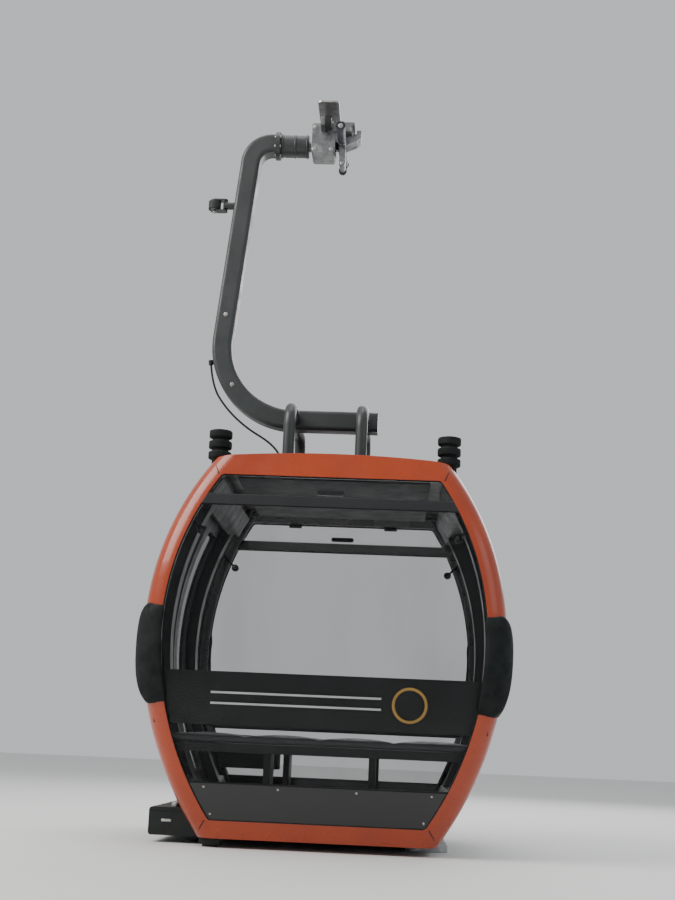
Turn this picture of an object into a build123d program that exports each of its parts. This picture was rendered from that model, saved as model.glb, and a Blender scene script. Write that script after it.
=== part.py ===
from build123d import *
from math import cos, radians, sin, sqrt, tan
import os

os.makedirs("parts", exist_ok=True)

# A detachable cable car cabin with its hanger and its rope grip, in millimetres.
# The origin is the rope's axis in the middle of the grip's jaws.
# +Y runs along the rope, +Z is up, and the doors are on the -X side.
# Heights on the cabin are measured up from its bottom.

# Cabin shell
cabin_height = 2200
belt_height = 1150
half_width = 1040
bottom_half_width = 680
top_half_width = 700
half_length = 1000
bottom_half_length = 850
top_half_length = 850
roof_crown = 35
corner_radius = 120
rope_to_roof = 2450
fit = 0.3

# End hoops
frame_depth = 60
frame_face = 115
frame_wrap = 150
bottom_band = 100
top_band = 115
opening_corner = 30

# End walls
glass_inset = 10
glass_thickness = 8
end_panel_height = 210
end_panel_thickness = 30
vent_height = 125
vent_rail_height = 60
vent_rail_depth = 45
pull_length = 160
pull_height = 30
pull_depth = 14

# Sides
post_depth = 100
post_width = 100
side_rail_height = 130
lower_rail_height = 120
sill_height = 190
sill_reach = 130
sill_depth = 60
roof_rail = 110
roof_depth = 45
window_corner = 40

# Doors
door_half_width = 452
jamb_gap = 12
meeting_gap = 8
leaf_gap = 10
leaf_top_drop = 230
leaf_depth = 40
leaf_stile = 55
leaf_bottom_rail = 150
leaf_top_rail = 75
header_drop = 190
header_lip_drop = 270
crank_radius = 225
crank_shaft_y = 525
crank_offset = 48
crank_width = 50
crank_thickness = 12
crank_shaft_radius = 15
crank_pin_radius = 10
crank_collar = 12
link_inset = 51
link_width = 36
link_thickness = 12
link_shaft_radius = 10
link_pin_radius = 8
link_shaft_length = 25
pin_clearance = 0.05
pin_end = 5
bracket_length = 60
bracket_height = 66
bracket_gap = 11

# Door drive box
gear_box_lip = 140
gear_box_bottom = -10
gear_box_top = 150
gear_box_half_length = 620
gear_box_corner = 18
shaft_bore_depth = 90

# Floor
floor_thickness = 30
ladder_rail_x = 330
ladder_rail_width = 60
ladder_cross_y = 420
ladder_cross_width = 50

# Seats
bench_bottom = 480
bench_thickness = 98
bench_front = 460
bench_corner = 30
bench_leg_x = 300
bench_leg_width = 40
bench_leg_depth = 220
back_bottom = 630
back_height = 300
back_thickness = 50
back_gap = 12
box_inset = 290
box_gap = 35
box_height = 110
box_depth = 260

# Rubber corner pads
pad_low = 730
pad_high = 1305
pad_proud = 40
pad_face = 130
pad_wrap = 165
pad_end_radius = 75

# Guide shoe under the side away from the doors
shoe_inset = 48
shoe_width = 250
shoe_thickness = 34
shoe_half_length = 420
shoe_drop = 50
shoe_stem_y = 280
shoe_stem_radius = 24
shoe_nose = 60

# Buffers on the roof's corners
buffer_inset = 12
buffer_setback = 150
buffer_radius = 70
buffer_waist = 48
buffer_ring = 45
buffer_groove = 20
buffer_base = 8

# Grab balls on the end posts
ball_drop = 360
ball_radius = 26
ball_stalk_radius = 7
ball_stalk_length = 120
ball_stalk_root = 25
ball_inset = 98

# Hanger
arm_width = 130
arm_depth = 140
arm_corner = 25
beam_height = 430
beam_end = 240
riser_foot_x = -862
riser_lean = 5.4
riser_bend = 500
top_bend = 150
head_height = 90
head_flange_x = -525
flange_radius = 95
flange_thickness = 15
head_radius = 75
head_inner_end = -300
head_pin_radius = 35
head_pin_end = -490

# Cradle between hanger and roof
cradle_xs = (-300, 150)
cradle_radius = 37
cradle_half_length = 450
cradle_bend = 130
foot_top = 80
foot_length = 150
foot_width = 120
foot_plate = 12

# Guide arm and its roller on the riser
guide_height = 1920
guide_tube_radius = 25
guide_roller_x = -925
guide_roller_radius = 42
guide_roller_height = 56
guide_pin_radius = 8
guide_fork_width = 50
guide_fork_thickness = 10
guide_fork_start = -860

# Cable from the riser to the roof
cable_radius = 7
cable_points = ((-884, 800), (-866, 655), (-770, 508), (-628, 378), (-450, 277), (-374, 168), (-362, 62))
gland_radius = 15
gland_length = 30
gland_clip = 16

# Grip
rope_radius = 24
grip_half_length = 95
jaw_half_length = 110
moving_jaw_half_length = 58
ear_thickness = 35
housing_left = -280
housing_right = -120
housing_top = 40
housing_bottom = -170
housing_corner = 22
jaw_right = 8
jaw_top = 44
jaw_bottom = -22
jaw_pivot_x = -75
jaw_pivot_z = -78
jaw_boss_radius = 32
jaw_pin_radius = 14
jaw_hook_right = 52
jaw_hook_top = 10
jaw_hook_low = -64
jaw_hook_high = -31
lever_end_x = -70
lever_end_z = -225
lever_width = 40
torsion_radius = 30
torsion_length = 190
torsion_cap_radius = 36
torsion_cap_length = 20
plate_z = 100
plate_thickness = 12
plate_half_length = 280
plate_left = -235
plate_right = -95
plate_post_y = 70
plate_post_radius = 16
roller_y = 172
roller_z = 8
roller_radius = 48
roller_width = 38
roller_x = -166
roller_pin_radius = 12
roller_arm_width = 28
roller_arm_height = 60
roller_gap = 3

# Heights that follow from the sizes above
roof_z = -rope_to_roof
cabin_bottom = roof_z - cabin_height
roof_line = cabin_height - roof_rail
leaf_top = cabin_height - leaf_top_drop
header_bottom = cabin_height - header_drop
header_lip = cabin_height - header_lip_drop
ball_height = cabin_height - ball_drop
end_panel_top = bottom_band + end_panel_height
vent_top = cabin_height - top_band
vent_bottom = vent_top - vent_height
vent_rail_bottom = vent_bottom - vent_rail_height
window_top = roof_line - side_rail_height
window_bottom = sill_height + lower_rail_height
post_outer = door_half_width + post_width
leaf_bottom = sill_height + leaf_gap
floor_top = frame_depth + floor_thickness
through = half_width + half_length
margin = 50


def station(y):
    # Plane across the cabin; a positive extrusion goes towards -Y.
    return Plane(origin=(0, y, cabin_bottom), x_dir=(1, 0, 0), z_dir=(0, -1, 0))


def flank(x):
    # Plane along the cabin; a positive extrusion goes towards +X.
    return Plane(origin=(x, 0, cabin_bottom), x_dir=(0, 1, 0), z_dir=(1, 0, 0))


def level(height):
    # Flat plane at a height above the cabin's bottom.
    return Plane.XY.offset(cabin_bottom + height)


def reach(height, inset, belt_reach, low_reach, high_reach):
    # Distance from the cabin's middle to its skin at a height, less the inset.
    if height < belt_height:
        bulge = belt_reach - low_reach
        rise = belt_height
    else:
        bulge = belt_reach - high_reach
        rise = cabin_height - belt_height
    radius = (bulge**2 + rise**2) / (2 * bulge)
    return belt_reach - radius + sqrt((radius - inset) ** 2 - (height - belt_height) ** 2)


def side_skin(height, inset=0):
    return reach(height, inset, half_width, bottom_half_width, top_half_width)


def end_skin(height, inset=0):
    return reach(height, inset, half_length, bottom_half_length, top_half_length)


# Places that follow from the skin
crank_x = -round(side_skin(leaf_bottom) + crank_offset)
link_x = -round(side_skin(leaf_top) - link_inset)
gear_box_reach = gear_box_lip - crank_x
box_left = half_width - box_inset
box_width = box_left - bench_leg_x - bench_leg_width / 2 - box_gap
shoe_x = bottom_half_width - shoe_inset
buffer_x = top_half_width - buffer_inset
buffer_y = top_half_length - buffer_setback
ball_y = round(end_skin(ball_height)) - ball_inset


def stops(low, high):
    # Heights at which one arc of the skin ends and the next begins.
    return [low] + [belt_height] * (low < belt_height < high) + [high]


def barrel(plane, skin, inset, low, high, crown=0, corner=0):
    # Closed outline of the shell between two heights, its four corners rounded if asked.
    with BuildSketch(plane) as outline:
        with BuildLine():
            for start, end in zip(stops(low, high), stops(low, high)[1:]):
                middle = (start + end) / 2
                for side in (-1, 1):
                    ThreePointArc(
                        (side * skin(start, inset), start),
                        (side * skin(middle, inset), middle),
                        (side * skin(end, inset), end),
                    )
            Line((-skin(low, inset), low), (skin(low, inset), low))
            if crown:
                ThreePointArc((-skin(high, inset), high), (0, high + crown), (skin(high, inset), high))
            else:
                Line((-skin(high, inset), high), (skin(high, inset), high))
        make_face()
        if corner:
            fillet(outline.vertices().group_by(Axis.Y)[0], corner)
            fillet(outline.vertices().group_by(Axis.Y)[-1], corner)
    return outline.sketch


def slab(plane, skin, side, outer, inner, low, high):
    # Section of one wall between two insets and two heights.
    with BuildSketch(plane) as outline:
        with BuildLine():
            for inset in (outer, inner):
                for start, end in zip(stops(low, high), stops(low, high)[1:]):
                    middle = (start + end) / 2
                    ThreePointArc(
                        (side * skin(start, inset), start),
                        (side * skin(middle, inset), middle),
                        (side * skin(end, inset), end),
                    )
            for height in (low, high):
                Line((side * skin(height, outer), height), (side * skin(height, inner), height))
        make_face()
    return outline.sketch


def across_prism(inset, low, high, crown=0, corner=0):
    # The cabin's end outline run along its whole length.
    with BuildPart() as prism:
        outline = barrel(station(0), side_skin, inset, low, high, crown, corner)
        extrude(outline, amount=half_length + margin, both=True)
    return prism.part


def along_prism(inset, low, high):
    # The cabin's side outline run across its whole width.
    with BuildPart() as prism:
        extrude(barrel(flank(0), end_skin, inset, low, high), amount=half_width + margin, both=True)
    return prism.part


def hull(inset):
    # The shell's solid shape, with its four upright corners rounded.
    with BuildPart() as body:
        add(across_prism(inset, inset, cabin_height - inset, roof_crown))
        add(along_prism(inset, inset - margin, cabin_height + margin), mode=Mode.INTERSECT)
        corners = body.edges().filter_by(
            lambda edge: abs(edge.center().X) > half_width / 2 and abs(edge.center().Y) > half_length / 2
        )
        fillet(corners, corner_radius - inset)
    return body.part


def window_prism(start, end, low, high, corner, inset=0):
    # A rounded window cut along X between two stations and two heights.
    with BuildPart() as prism:
        with BuildSketch(flank(0)):
            with Locations(((start + end) / 2, (low + high) / 2)):
                RectangleRounded(end - start - 2 * inset, high - low - 2 * inset, corner - inset)
        extrude(amount=through, both=True)
    return prism.part


def save(piece, name):
    piece.label = name
    export_step(piece, f"parts/{name}.step")


ends = (("front", False), ("rear", True))


def save_ends(piece, name):
    # The piece as modelled is the front one; the rear one is its mirror image.
    for end, mirrored in ends:
        save(mirror(piece, about=Plane.XZ) if mirrored else piece, f"{name}_{end}")


def save_pair(piece, name):
    # The front piece and its mirror image at the rear in one file.
    with BuildPart() as pair:
        add(piece)
        mirror(about=Plane.XZ)
    save(pair.part, name)


outer_hull = hull(0)
seat_hull = hull(-fit)
inner_hull = hull(frame_depth + fit)
sleeve = along_prism(frame_wrap + fit, -margin, cabin_height + margin)

# End hoops, one round each end, each a ring across the end and a band along the sides.
with BuildPart() as end_frame:
    add(outer_hull)
    add(hull(frame_depth), mode=Mode.SUBTRACT)
    add(across_prism(frame_face, bottom_band, vent_top, 0, opening_corner), mode=Mode.SUBTRACT)
    add(along_prism(frame_wrap, -margin, cabin_height + margin), mode=Mode.SUBTRACT)
    split(bisect_by=Plane.XZ, keep=Keep.TOP)
save_ends(end_frame.part, "end_frame")


def end_pane(low, high, outer, inner):
    # A curved piece of the front end wall that fills the hoop's opening between two heights.
    with BuildPart() as pane:
        extrude(slab(flank(0), end_skin, -1, outer, inner, low, high), amount=through, both=True)
        opening = across_prism(frame_face + fit, bottom_band + fit, vent_top - fit, 0, opening_corner)
        add(opening, mode=Mode.INTERSECT)
    return pane.part


glass_inner = glass_inset + glass_thickness
save_pair(
    end_pane(bottom_band, end_panel_top - fit, glass_inset, glass_inset + end_panel_thickness), "end_panels"
)
save_ends(end_pane(end_panel_top, vent_rail_bottom - fit, glass_inset, glass_inner), "end_glass")
save_pair(end_pane(vent_rail_bottom, vent_bottom - fit, 0, vent_rail_depth), "vent_rails")
save_pair(end_pane(vent_bottom, vent_top, glass_inset, glass_inner), "vent_glass")

# Finger pulls on the inside of the vent panes
pull_z = vent_bottom + pull_height
with BuildPart() as vent_pull:
    with BuildSketch(station(-end_skin(pull_z, glass_inner) + pull_depth)):
        with Locations((0, pull_z)):
            SlotOverall(pull_length, pull_height)
    extrude(amount=2 * pull_depth)
    bound = barrel(flank(0), end_skin, glass_inner + fit, pull_z - pull_height, pull_z + pull_height)
    extrude(bound, amount=pull_length, both=True, mode=Mode.INTERSECT)
save_pair(vent_pull.part, "vent_pulls")

# Roof between the hoops
with BuildPart() as roof:
    add(across_prism(0, roof_line + fit, cabin_height, roof_crown))
    add(across_prism(roof_depth, roof_line - margin, cabin_height - roof_depth, roof_crown), mode=Mode.SUBTRACT)
    add(sleeve, mode=Mode.INTERSECT)
save(roof.part, "roof_shell")


def side_wall(side):
    # One side between the hoops, from the sill's underside to the roof, before its openings.
    with BuildPart() as sill:
        extrude(barrel(station(0), side_skin, 0, 0, sill_depth), amount=half_length, both=True)
        with BuildSketch(level(0)):
            with Locations((-side * (half_width + sill_reach - bottom_half_width), 0)):
                Rectangle(2 * half_width, 2 * half_length)
        extrude(amount=sill_depth, mode=Mode.SUBTRACT)
    with BuildPart() as wall:
        extrude(slab(station(0), side_skin, side, 0, post_depth, 0, roof_line), amount=half_length, both=True)
        add(sill.part)
        add(sleeve, mode=Mode.INTERSECT)
    return wall.part


# Fixed side: two posts, three windows
window_spans = (
    (-half_length, -post_outer),
    (-door_half_width, door_half_width),
    (post_outer, half_length),
)
with BuildPart() as side_frame:
    add(side_wall(1))
    for start, end in window_spans:
        cut = window_prism(start, end, window_bottom, window_top, window_corner)
        add(cut, mode=Mode.SUBTRACT)
save(side_frame.part, "side_frame")


def side_pane(side, start, end):
    # A curved pane in one side window.
    with BuildPart() as pane:
        wall = slab(station(0), side_skin, side, glass_inset, glass_inner, window_bottom, window_top)
        extrude(wall, amount=half_length, both=True)
        edge = window_prism(start, end, window_bottom, window_top, window_corner, fit)
        add(edge, mode=Mode.INTERSECT)
        add(sleeve, mode=Mode.INTERSECT)
    return pane.part


with BuildPart() as side_glass:
    for start, end in window_spans:
        add(side_pane(1, start, end))
save(side_glass.part, "side_glass")

# Door side: sill, two posts, header with the groove in which the upper links swing
link_boss = link_width / 2
groove_back = link_x + link_boss + leaf_gap / 2
groove_half_length = crank_shaft_y + crank_radius
with BuildPart() as portal:
    add(side_wall(-1))
    add(
        window_prism(-door_half_width, door_half_width, sill_height, header_lip, jamb_gap),
        mode=Mode.SUBTRACT,
    )
    for start, end in (window_spans[0], window_spans[2]):
        add(window_prism(start, end, window_bottom, window_top, window_corner), mode=Mode.SUBTRACT)
    with BuildSketch(flank(groove_back)):
        with Locations((0, (header_bottom + leaf_top + leaf_gap / 2) / 2)):
            Rectangle(2 * groove_half_length, header_bottom - leaf_top - leaf_gap / 2)
        with Locations((0, (header_bottom + sill_height) / 2)):
            Rectangle(2 * door_half_width, header_bottom - sill_height)
    extrude(amount=-half_width, mode=Mode.SUBTRACT)
    with BuildSketch(level(header_bottom)):
        with Locations((link_x, crank_shaft_y), (link_x, -crank_shaft_y)):
            Circle(link_shaft_radius + pin_clearance)
    extrude(amount=link_shaft_length, mode=Mode.SUBTRACT)
with BuildPart() as lower_portal:
    add(portal.part)
    split(bisect_by=level(header_lip - fit), keep=Keep.BOTTOM)
save(lower_portal.part, "door_portal")
with BuildPart() as header:
    add(portal.part)
    split(bisect_by=level(header_lip), keep=Keep.TOP)
save(header.part, "door_header")

with BuildPart() as portal_glass:
    for start, end in (window_spans[0], window_spans[2]):
        add(side_pane(-1, start, end))
save(portal_glass.part, "door_side_glass")

# Door leaves
leaf_start = -(door_half_width - jamb_gap)
leaf_end = -meeting_gap / 2
leaf_pivot_y = -(crank_shaft_y - crank_radius)
leaf_window = (
    leaf_start + leaf_stile,
    leaf_end - leaf_stile,
    leaf_bottom + leaf_bottom_rail,
    leaf_top - leaf_top_rail,
)
crank_bottom = gear_box_top + crank_collar
crank_top = crank_bottom + crank_thickness
link_bottom = leaf_top + crank_collar + leaf_gap / 2
link_top = link_bottom + link_thickness
bracket_bottom = crank_top + fit
bracket_inner = side_skin(sill_height) + bracket_gap
bracket_outer = -crank_x + bracket_length / 2
with BuildPart() as leaf:
    section = slab(station(leaf_end), side_skin, -1, 0, leaf_depth, leaf_bottom, leaf_top)
    extrude(section, amount=leaf_end - leaf_start)
    add(window_prism(*leaf_window, window_corner), mode=Mode.SUBTRACT)
    with BuildSketch(level(leaf_top)):
        with Locations((-(side_skin(leaf_top) - link_x) / 2, leaf_pivot_y)):
            Rectangle(side_skin(leaf_top) + link_x + 2 * link_pin_radius, bracket_length)
    extrude(amount=leaf_gap)
    with BuildSketch(level(leaf_top)):
        with Locations((link_x, leaf_pivot_y)):
            Circle(link_pin_radius)
    extrude(amount=link_top - leaf_top)
save_ends(leaf.part, "door_leaf")

# Brackets that carry the leaves on the cranks, each with its pin
with BuildPart() as bracket:
    with BuildSketch(station(leaf_pivot_y + bracket_length / 2)):
        with BuildLine():
            Polyline(
                (-bracket_outer, bracket_bottom),
                (-bracket_inner, bracket_bottom),
                (-bracket_inner, bracket_bottom + bracket_height),
                (-bracket_outer, bracket_bottom + bracket_height / 3),
                close=True,
            )
        make_face()
    extrude(amount=bracket_length)
    add(across_prism(-fit, 0, cabin_height), mode=Mode.SUBTRACT)
    with BuildSketch(level(crank_bottom - pin_end)):
        with Locations((crank_x, leaf_pivot_y)):
            Circle(crank_pin_radius)
    extrude(amount=crank_thickness + pin_end + bracket_height / 3)
save_ends(bracket.part, "door_bracket")

with BuildPart() as leaf_glass:
    pane = slab(station(0), side_skin, -1, glass_inset, glass_inner, leaf_window[2], leaf_window[3])
    extrude(pane, amount=half_length, both=True)
    add(window_prism(*leaf_window, window_corner, fit), mode=Mode.INTERSECT)
save_ends(leaf_glass.part, "door_leaf_glass")


def swing_arm(x, width, bottom, thickness, pin_radius):
    # Flat arm from its shaft to the pivot on the leaf, with a bore for the leaf's pin.
    with BuildPart() as arm:
        with BuildSketch(level(bottom)):
            with Locations((x, (leaf_pivot_y - crank_shaft_y) / 2)):
                SlotCenterToCenter(crank_radius, width, rotation=90)
            with Locations((x, leaf_pivot_y)):
                Circle(pin_radius + pin_clearance, mode=Mode.SUBTRACT)
        extrude(amount=thickness)
    return arm.part


# Lower cranks, on shafts that rise from the drive box
with BuildPart() as crank:
    add(swing_arm(crank_x, crank_width, crank_bottom, crank_thickness, crank_pin_radius))
    with BuildSketch(level(gear_box_top + fit)):
        with Locations((crank_x, -crank_shaft_y)):
            Circle(crank_width / 2)
    extrude(amount=crank_collar)
    with BuildSketch(level(crank_bottom)):
        with Locations((crank_x, -crank_shaft_y)):
            Circle(crank_shaft_radius)
    extrude(amount=-shaft_bore_depth)
save_ends(crank.part, "door_crank")

# Upper links, on shafts that hang from the header
with BuildPart() as link:
    add(swing_arm(link_x, link_width, link_bottom, link_thickness, link_pin_radius))
    with BuildSketch(level(link_top)):
        with Locations((link_x, -crank_shaft_y)):
            Circle(link_boss)
    extrude(amount=header_bottom - fit - link_top)
    with BuildSketch(level(link_top)):
        with Locations((link_x, -crank_shaft_y)):
            Circle(link_shaft_radius)
    extrude(amount=header_bottom - link_top + link_shaft_length - fit)
save_ends(link.part, "door_link")

# Drive box under the doors
with BuildPart() as gear_box:
    with BuildSketch(station(gear_box_half_length)):
        with Locations((-(gear_box_reach + bottom_half_width / 2) / 2, (gear_box_top + gear_box_bottom) / 2)):
            RectangleRounded(
                gear_box_reach - bottom_half_width / 2, gear_box_top - gear_box_bottom, gear_box_corner
            )
        with Locations((-bottom_half_width / 2, 0)):
            Rectangle(bottom_half_width / 2, 2 * gear_box_top, mode=Mode.SUBTRACT)
    extrude(amount=2 * gear_box_half_length)
    add(across_prism(-fit, -fit, cabin_height), mode=Mode.SUBTRACT)
    with BuildSketch(level(gear_box_top)):
        with Locations((crank_x, crank_shaft_y), (crank_x, -crank_shaft_y)):
            Circle(crank_shaft_radius + pin_clearance)
    extrude(amount=-shaft_bore_depth, mode=Mode.SUBTRACT)
save(gear_box.part, "door_gear_box")

# Floor plate on the hoops' lower bands
with BuildPart() as floor_plate:
    add(across_prism(post_depth + fit, frame_depth + fit, floor_top))
    add(inner_hull, mode=Mode.INTERSECT)
save(floor_plate.part, "floor_plate")

# Ladder frame under the floor
sill_inner = bottom_half_width - sill_reach
with BuildPart() as underframe:
    with BuildSketch(level(0)):
        with Locations((ladder_rail_x, 0), (-ladder_rail_x, 0)):
            Rectangle(ladder_rail_width, 2 * half_length)
        with Locations((0, ladder_cross_y), (0, 0), (0, -ladder_cross_y)):
            Rectangle(2 * (sill_inner - fit), ladder_cross_width)
    extrude(amount=frame_depth)
    add(sleeve, mode=Mode.INTERSECT)
save(underframe.part, "underframe")

# Benches at both ends
bench_top = bench_bottom + bench_thickness
with BuildPart() as bench:
    add(across_prism(post_depth + fit, bench_bottom, bench_top))
    add(inner_hull, mode=Mode.INTERSECT)
    with BuildSketch(level(bench_bottom)):
        with Locations((0, -half_length)):
            Rectangle(2 * half_width, 2 * (half_length - bench_front))
    extrude(amount=bench_thickness, mode=Mode.INTERSECT)
    nose = bench.edges().filter_by(Axis.X).group_by(Axis.Y)[-1]
    fillet(nose, bench_corner)
    with BuildSketch(level(bench_bottom)):
        with Locations(*((side * bench_leg_x, -bench_front - bench_leg_depth) for side in (-1, 1))):
            Rectangle(bench_leg_width, bench_leg_depth)
    extrude(amount=floor_top + fit - bench_bottom)
save_ends(bench.part, "bench")

# Backrests, one across each end window
with BuildPart() as backrest:
    inner = glass_inner + back_gap
    back_top = back_bottom + back_height
    extrude(
        slab(flank(0), end_skin, -1, inner, inner + back_thickness, back_bottom, back_top),
        amount=through,
        both=True,
    )
    add(inner_hull, mode=Mode.INTERSECT)
save_pair(backrest.part, "backrests")

# Equipment box under the rear bench
with BuildPart() as equipment_box:
    with BuildSketch(level(bench_bottom - fit)):
        with Locations((-box_left + box_width / 2, bench_front + box_depth / 2 + bench_corner)):
            RectangleRounded(box_width, box_depth, bench_corner / 2)
    extrude(amount=-box_height)
save(equipment_box.part, "equipment_box")


# Rubber pads over the four corners of the hoops
with BuildPart() as corner_pads:
    pad_outer = pad_proud + fit
    with BuildSketch(level(pad_low - fit)):
        RectangleRounded(2 * (half_width + pad_outer), 2 * (half_length + pad_outer), corner_radius + pad_outer)
    extrude(amount=pad_high - pad_low + 2 * fit)
    for plane, skin in ((station(0), side_skin), (flank(0), end_skin)):
        outline = barrel(plane, skin, -pad_proud, pad_low, pad_high, 0, pad_end_radius)
        extrude(outline, amount=through, both=True, mode=Mode.INTERSECT)
    add(seat_hull, mode=Mode.SUBTRACT)
    add(across_prism(pad_face, 0, cabin_height), mode=Mode.SUBTRACT)
    add(along_prism(pad_wrap, 0, cabin_height), mode=Mode.SUBTRACT)
save(corner_pads.part, "corner_pads")

# Guide shoe on two stems
with BuildPart() as shoe:
    with BuildSketch(level(-shoe_drop)):
        with Locations((shoe_x, 0)):
            RectangleRounded(shoe_width, 2 * shoe_half_length, shoe_nose)
    extrude(amount=shoe_thickness)
    with BuildSketch(level(-fit)):
        with Locations((shoe_x, shoe_stem_y), (shoe_x, -shoe_stem_y)):
            Circle(shoe_stem_radius)
    extrude(amount=shoe_thickness + fit - shoe_drop)
save(shoe.part, "guide_shoe")

# Ribbed rubber buffers on the roof's corners
buffer_rows = (
    # radius, height
    (buffer_radius, buffer_ring),
    (buffer_waist, buffer_groove),
    (buffer_radius, buffer_ring),
    (buffer_waist, buffer_groove),
    (buffer_radius, buffer_ring),
)
buffer_places = [(x, y) for x in (-buffer_x, buffer_x) for y in (-buffer_y, buffer_y)]
with BuildPart() as buffers:
    height = cabin_height + buffer_base
    for radius, thickness in buffer_rows:
        with BuildSketch(level(height)):
            with Locations(*buffer_places):
                Circle(radius)
        extrude(amount=thickness)
        height += thickness
    with BuildSketch(level(roof_line)):
        with Locations(*buffer_places):
            Circle(buffer_waist)
    extrude(amount=cabin_height + buffer_base - roof_line)
    add(seat_hull, mode=Mode.SUBTRACT)
save(buffers.part, "roof_buffers")

# Balls on thin stalks, one on each end post
stalk_side = side_skin(ball_height, frame_depth + fit)
with BuildPart() as balls:
    for side in (-1, 1):
        for end in (-1, 1):
            slant = Vector(-side, 0, -1).normalized()
            root = Vector(side * stalk_side, end * ball_y, cabin_bottom + ball_height)
            with BuildSketch(Plane(origin=root - slant * ball_stalk_root, z_dir=slant)):
                Circle(ball_stalk_radius)
            extrude(amount=ball_stalk_root + ball_stalk_length)
    add(inner_hull, mode=Mode.INTERSECT)
    for side in (-1, 1):
        for end in (-1, 1):
            slant = Vector(-side, 0, -1).normalized()
            root = Vector(side * stalk_side, end * ball_y, cabin_bottom + ball_height)
            with Locations(Plane(origin=root + slant * ball_stalk_length, z_dir=slant)):
                Sphere(ball_radius)
save(balls.part, "grab_balls")

# Hanger arm: beam over the roof, riser beside it and bend to the head
lean = tan(radians(riser_lean))
beam_z = roof_z + beam_height
head_z = -head_height
riser_top_x = riser_foot_x + (head_z - beam_z) * lean
arm_points = (
    (beam_end, 0, beam_z),
    (riser_foot_x, 0, beam_z),
    (riser_top_x, 0, head_z),
    (head_flange_x, 0, head_z),
)
with BuildPart() as arm:
    with BuildLine() as route:
        FilletPolyline(*arm_points, radius=[riser_bend, top_bend])
    with BuildSketch(Plane(origin=arm_points[0], x_dir=(0, 1, 0), z_dir=(-1, 0, 0))):
        RectangleRounded(arm_depth, arm_width, arm_corner)
    sweep()
    with BuildSketch(Plane(origin=arm_points[-1], z_dir=(1, 0, 0))):
        Circle(flange_radius)
    extrude(amount=flange_thickness)
    with BuildSketch(Plane.XZ):
        with Locations(*((x, beam_z) for x in cradle_xs)):
            Circle(cradle_radius + fit)
    extrude(amount=arm_depth, both=True, mode=Mode.SUBTRACT)
save(arm.part, "hanger_arm")

# Head with the bearing that turns on the grip's pin
with BuildPart() as head:
    with BuildSketch(Plane(origin=(head_flange_x + flange_thickness, 0, head_z), z_dir=(1, 0, 0))):
        Circle(flange_radius)
    extrude(amount=flange_thickness)
    with BuildSketch(Plane(origin=(head_flange_x + flange_thickness, 0, head_z), z_dir=(1, 0, 0))):
        Circle(head_radius)
    extrude(amount=head_inner_end - head_flange_x - flange_thickness)
    with BuildSketch(Plane(origin=(head_inner_end, 0, head_z), z_dir=(-1, 0, 0))):
        Circle(head_pin_radius + pin_clearance)
    extrude(amount=head_inner_end - head_pin_end + pin_end, mode=Mode.SUBTRACT)
save(head.part, "hanger_head")

# Cradle hoops that pass through the beam, and their feet on the roof
foot_z = roof_z + foot_top
with BuildPart() as cradle:
    for x in cradle_xs:
        hoop_points = (
            (x, -cradle_half_length, foot_z),
            (x, -cradle_half_length, beam_z),
            (x, cradle_half_length, beam_z),
            (x, cradle_half_length, foot_z),
        )
        with BuildLine() as hoop:
            FilletPolyline(*hoop_points, radius=cradle_bend)
        with BuildSketch(Plane(origin=hoop_points[0], z_dir=(0, 0, 1))):
            Circle(cradle_radius)
        sweep(path=hoop.wire())
save(cradle.part, "cradle_hoops")

foot_places = [(x, y) for x in cradle_xs for y in (-cradle_half_length, cradle_half_length)]
with BuildPart() as feet:
    with BuildSketch(Plane.XY.offset(foot_z - fit)):
        with Locations(*foot_places):
            RectangleRounded(foot_width, foot_length, arm_corner)
    extrude(amount=-foot_plate)
    with BuildSketch(Plane.XY.offset(foot_z - fit - foot_plate)):
        with Locations(*foot_places):
            Circle(foot_width / 2 - foot_plate)
    extrude(amount=-foot_top)
    add(across_prism(-fit, 0, cabin_height + fit, roof_crown), mode=Mode.SUBTRACT)
save(feet.part, "cradle_feet")

# Guide arm on the riser, with a fork for its roller
guide_z = roof_z + guide_height
riser_x = riser_foot_x + (guide_height - beam_height) * lean
guide_root = riser_x - arm_width / 2 - fit
fork_half_gap = guide_roller_height / 2 + pin_end
with BuildPart() as guide_arm:
    with BuildSketch(Plane(origin=(guide_root + arm_width / 4, 0, guide_z), z_dir=(-1, 0, 0))):
        Circle(guide_tube_radius)
    extrude(amount=guide_root + arm_width / 4 - guide_fork_start)
    with BuildSketch(Plane.XZ):
        with Locations((guide_fork_start, guide_z)):
            Rectangle(guide_fork_thickness, 2 * (fork_half_gap + guide_fork_thickness))
    extrude(amount=guide_fork_width / 2, both=True)
    for side in (-1, 1):
        with BuildSketch(Plane.XY.offset(guide_z + side * fork_half_gap)):
            with Locations(((guide_fork_start + guide_roller_x) / 2, 0)):
                SlotCenterToCenter(guide_fork_start - guide_roller_x, guide_fork_width)
        extrude(amount=side * guide_fork_thickness)
    with BuildSketch(Plane.XY.offset(guide_z)):
        with Locations((guide_roller_x, 0)):
            Circle(guide_pin_radius)
    extrude(amount=fork_half_gap + guide_fork_thickness, both=True)
    add(arm.part, mode=Mode.SUBTRACT)
save(guide_arm.part, "guide_arm")

with BuildPart() as guide_roller:
    with BuildSketch(Plane.XY.offset(guide_z)):
        with Locations((guide_roller_x, 0)):
            Circle(guide_roller_radius)
            Circle(guide_pin_radius + pin_clearance, mode=Mode.SUBTRACT)
    extrude(amount=guide_roller_height / 2, both=True)
save(guide_roller.part, "guide_roller")

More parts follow.
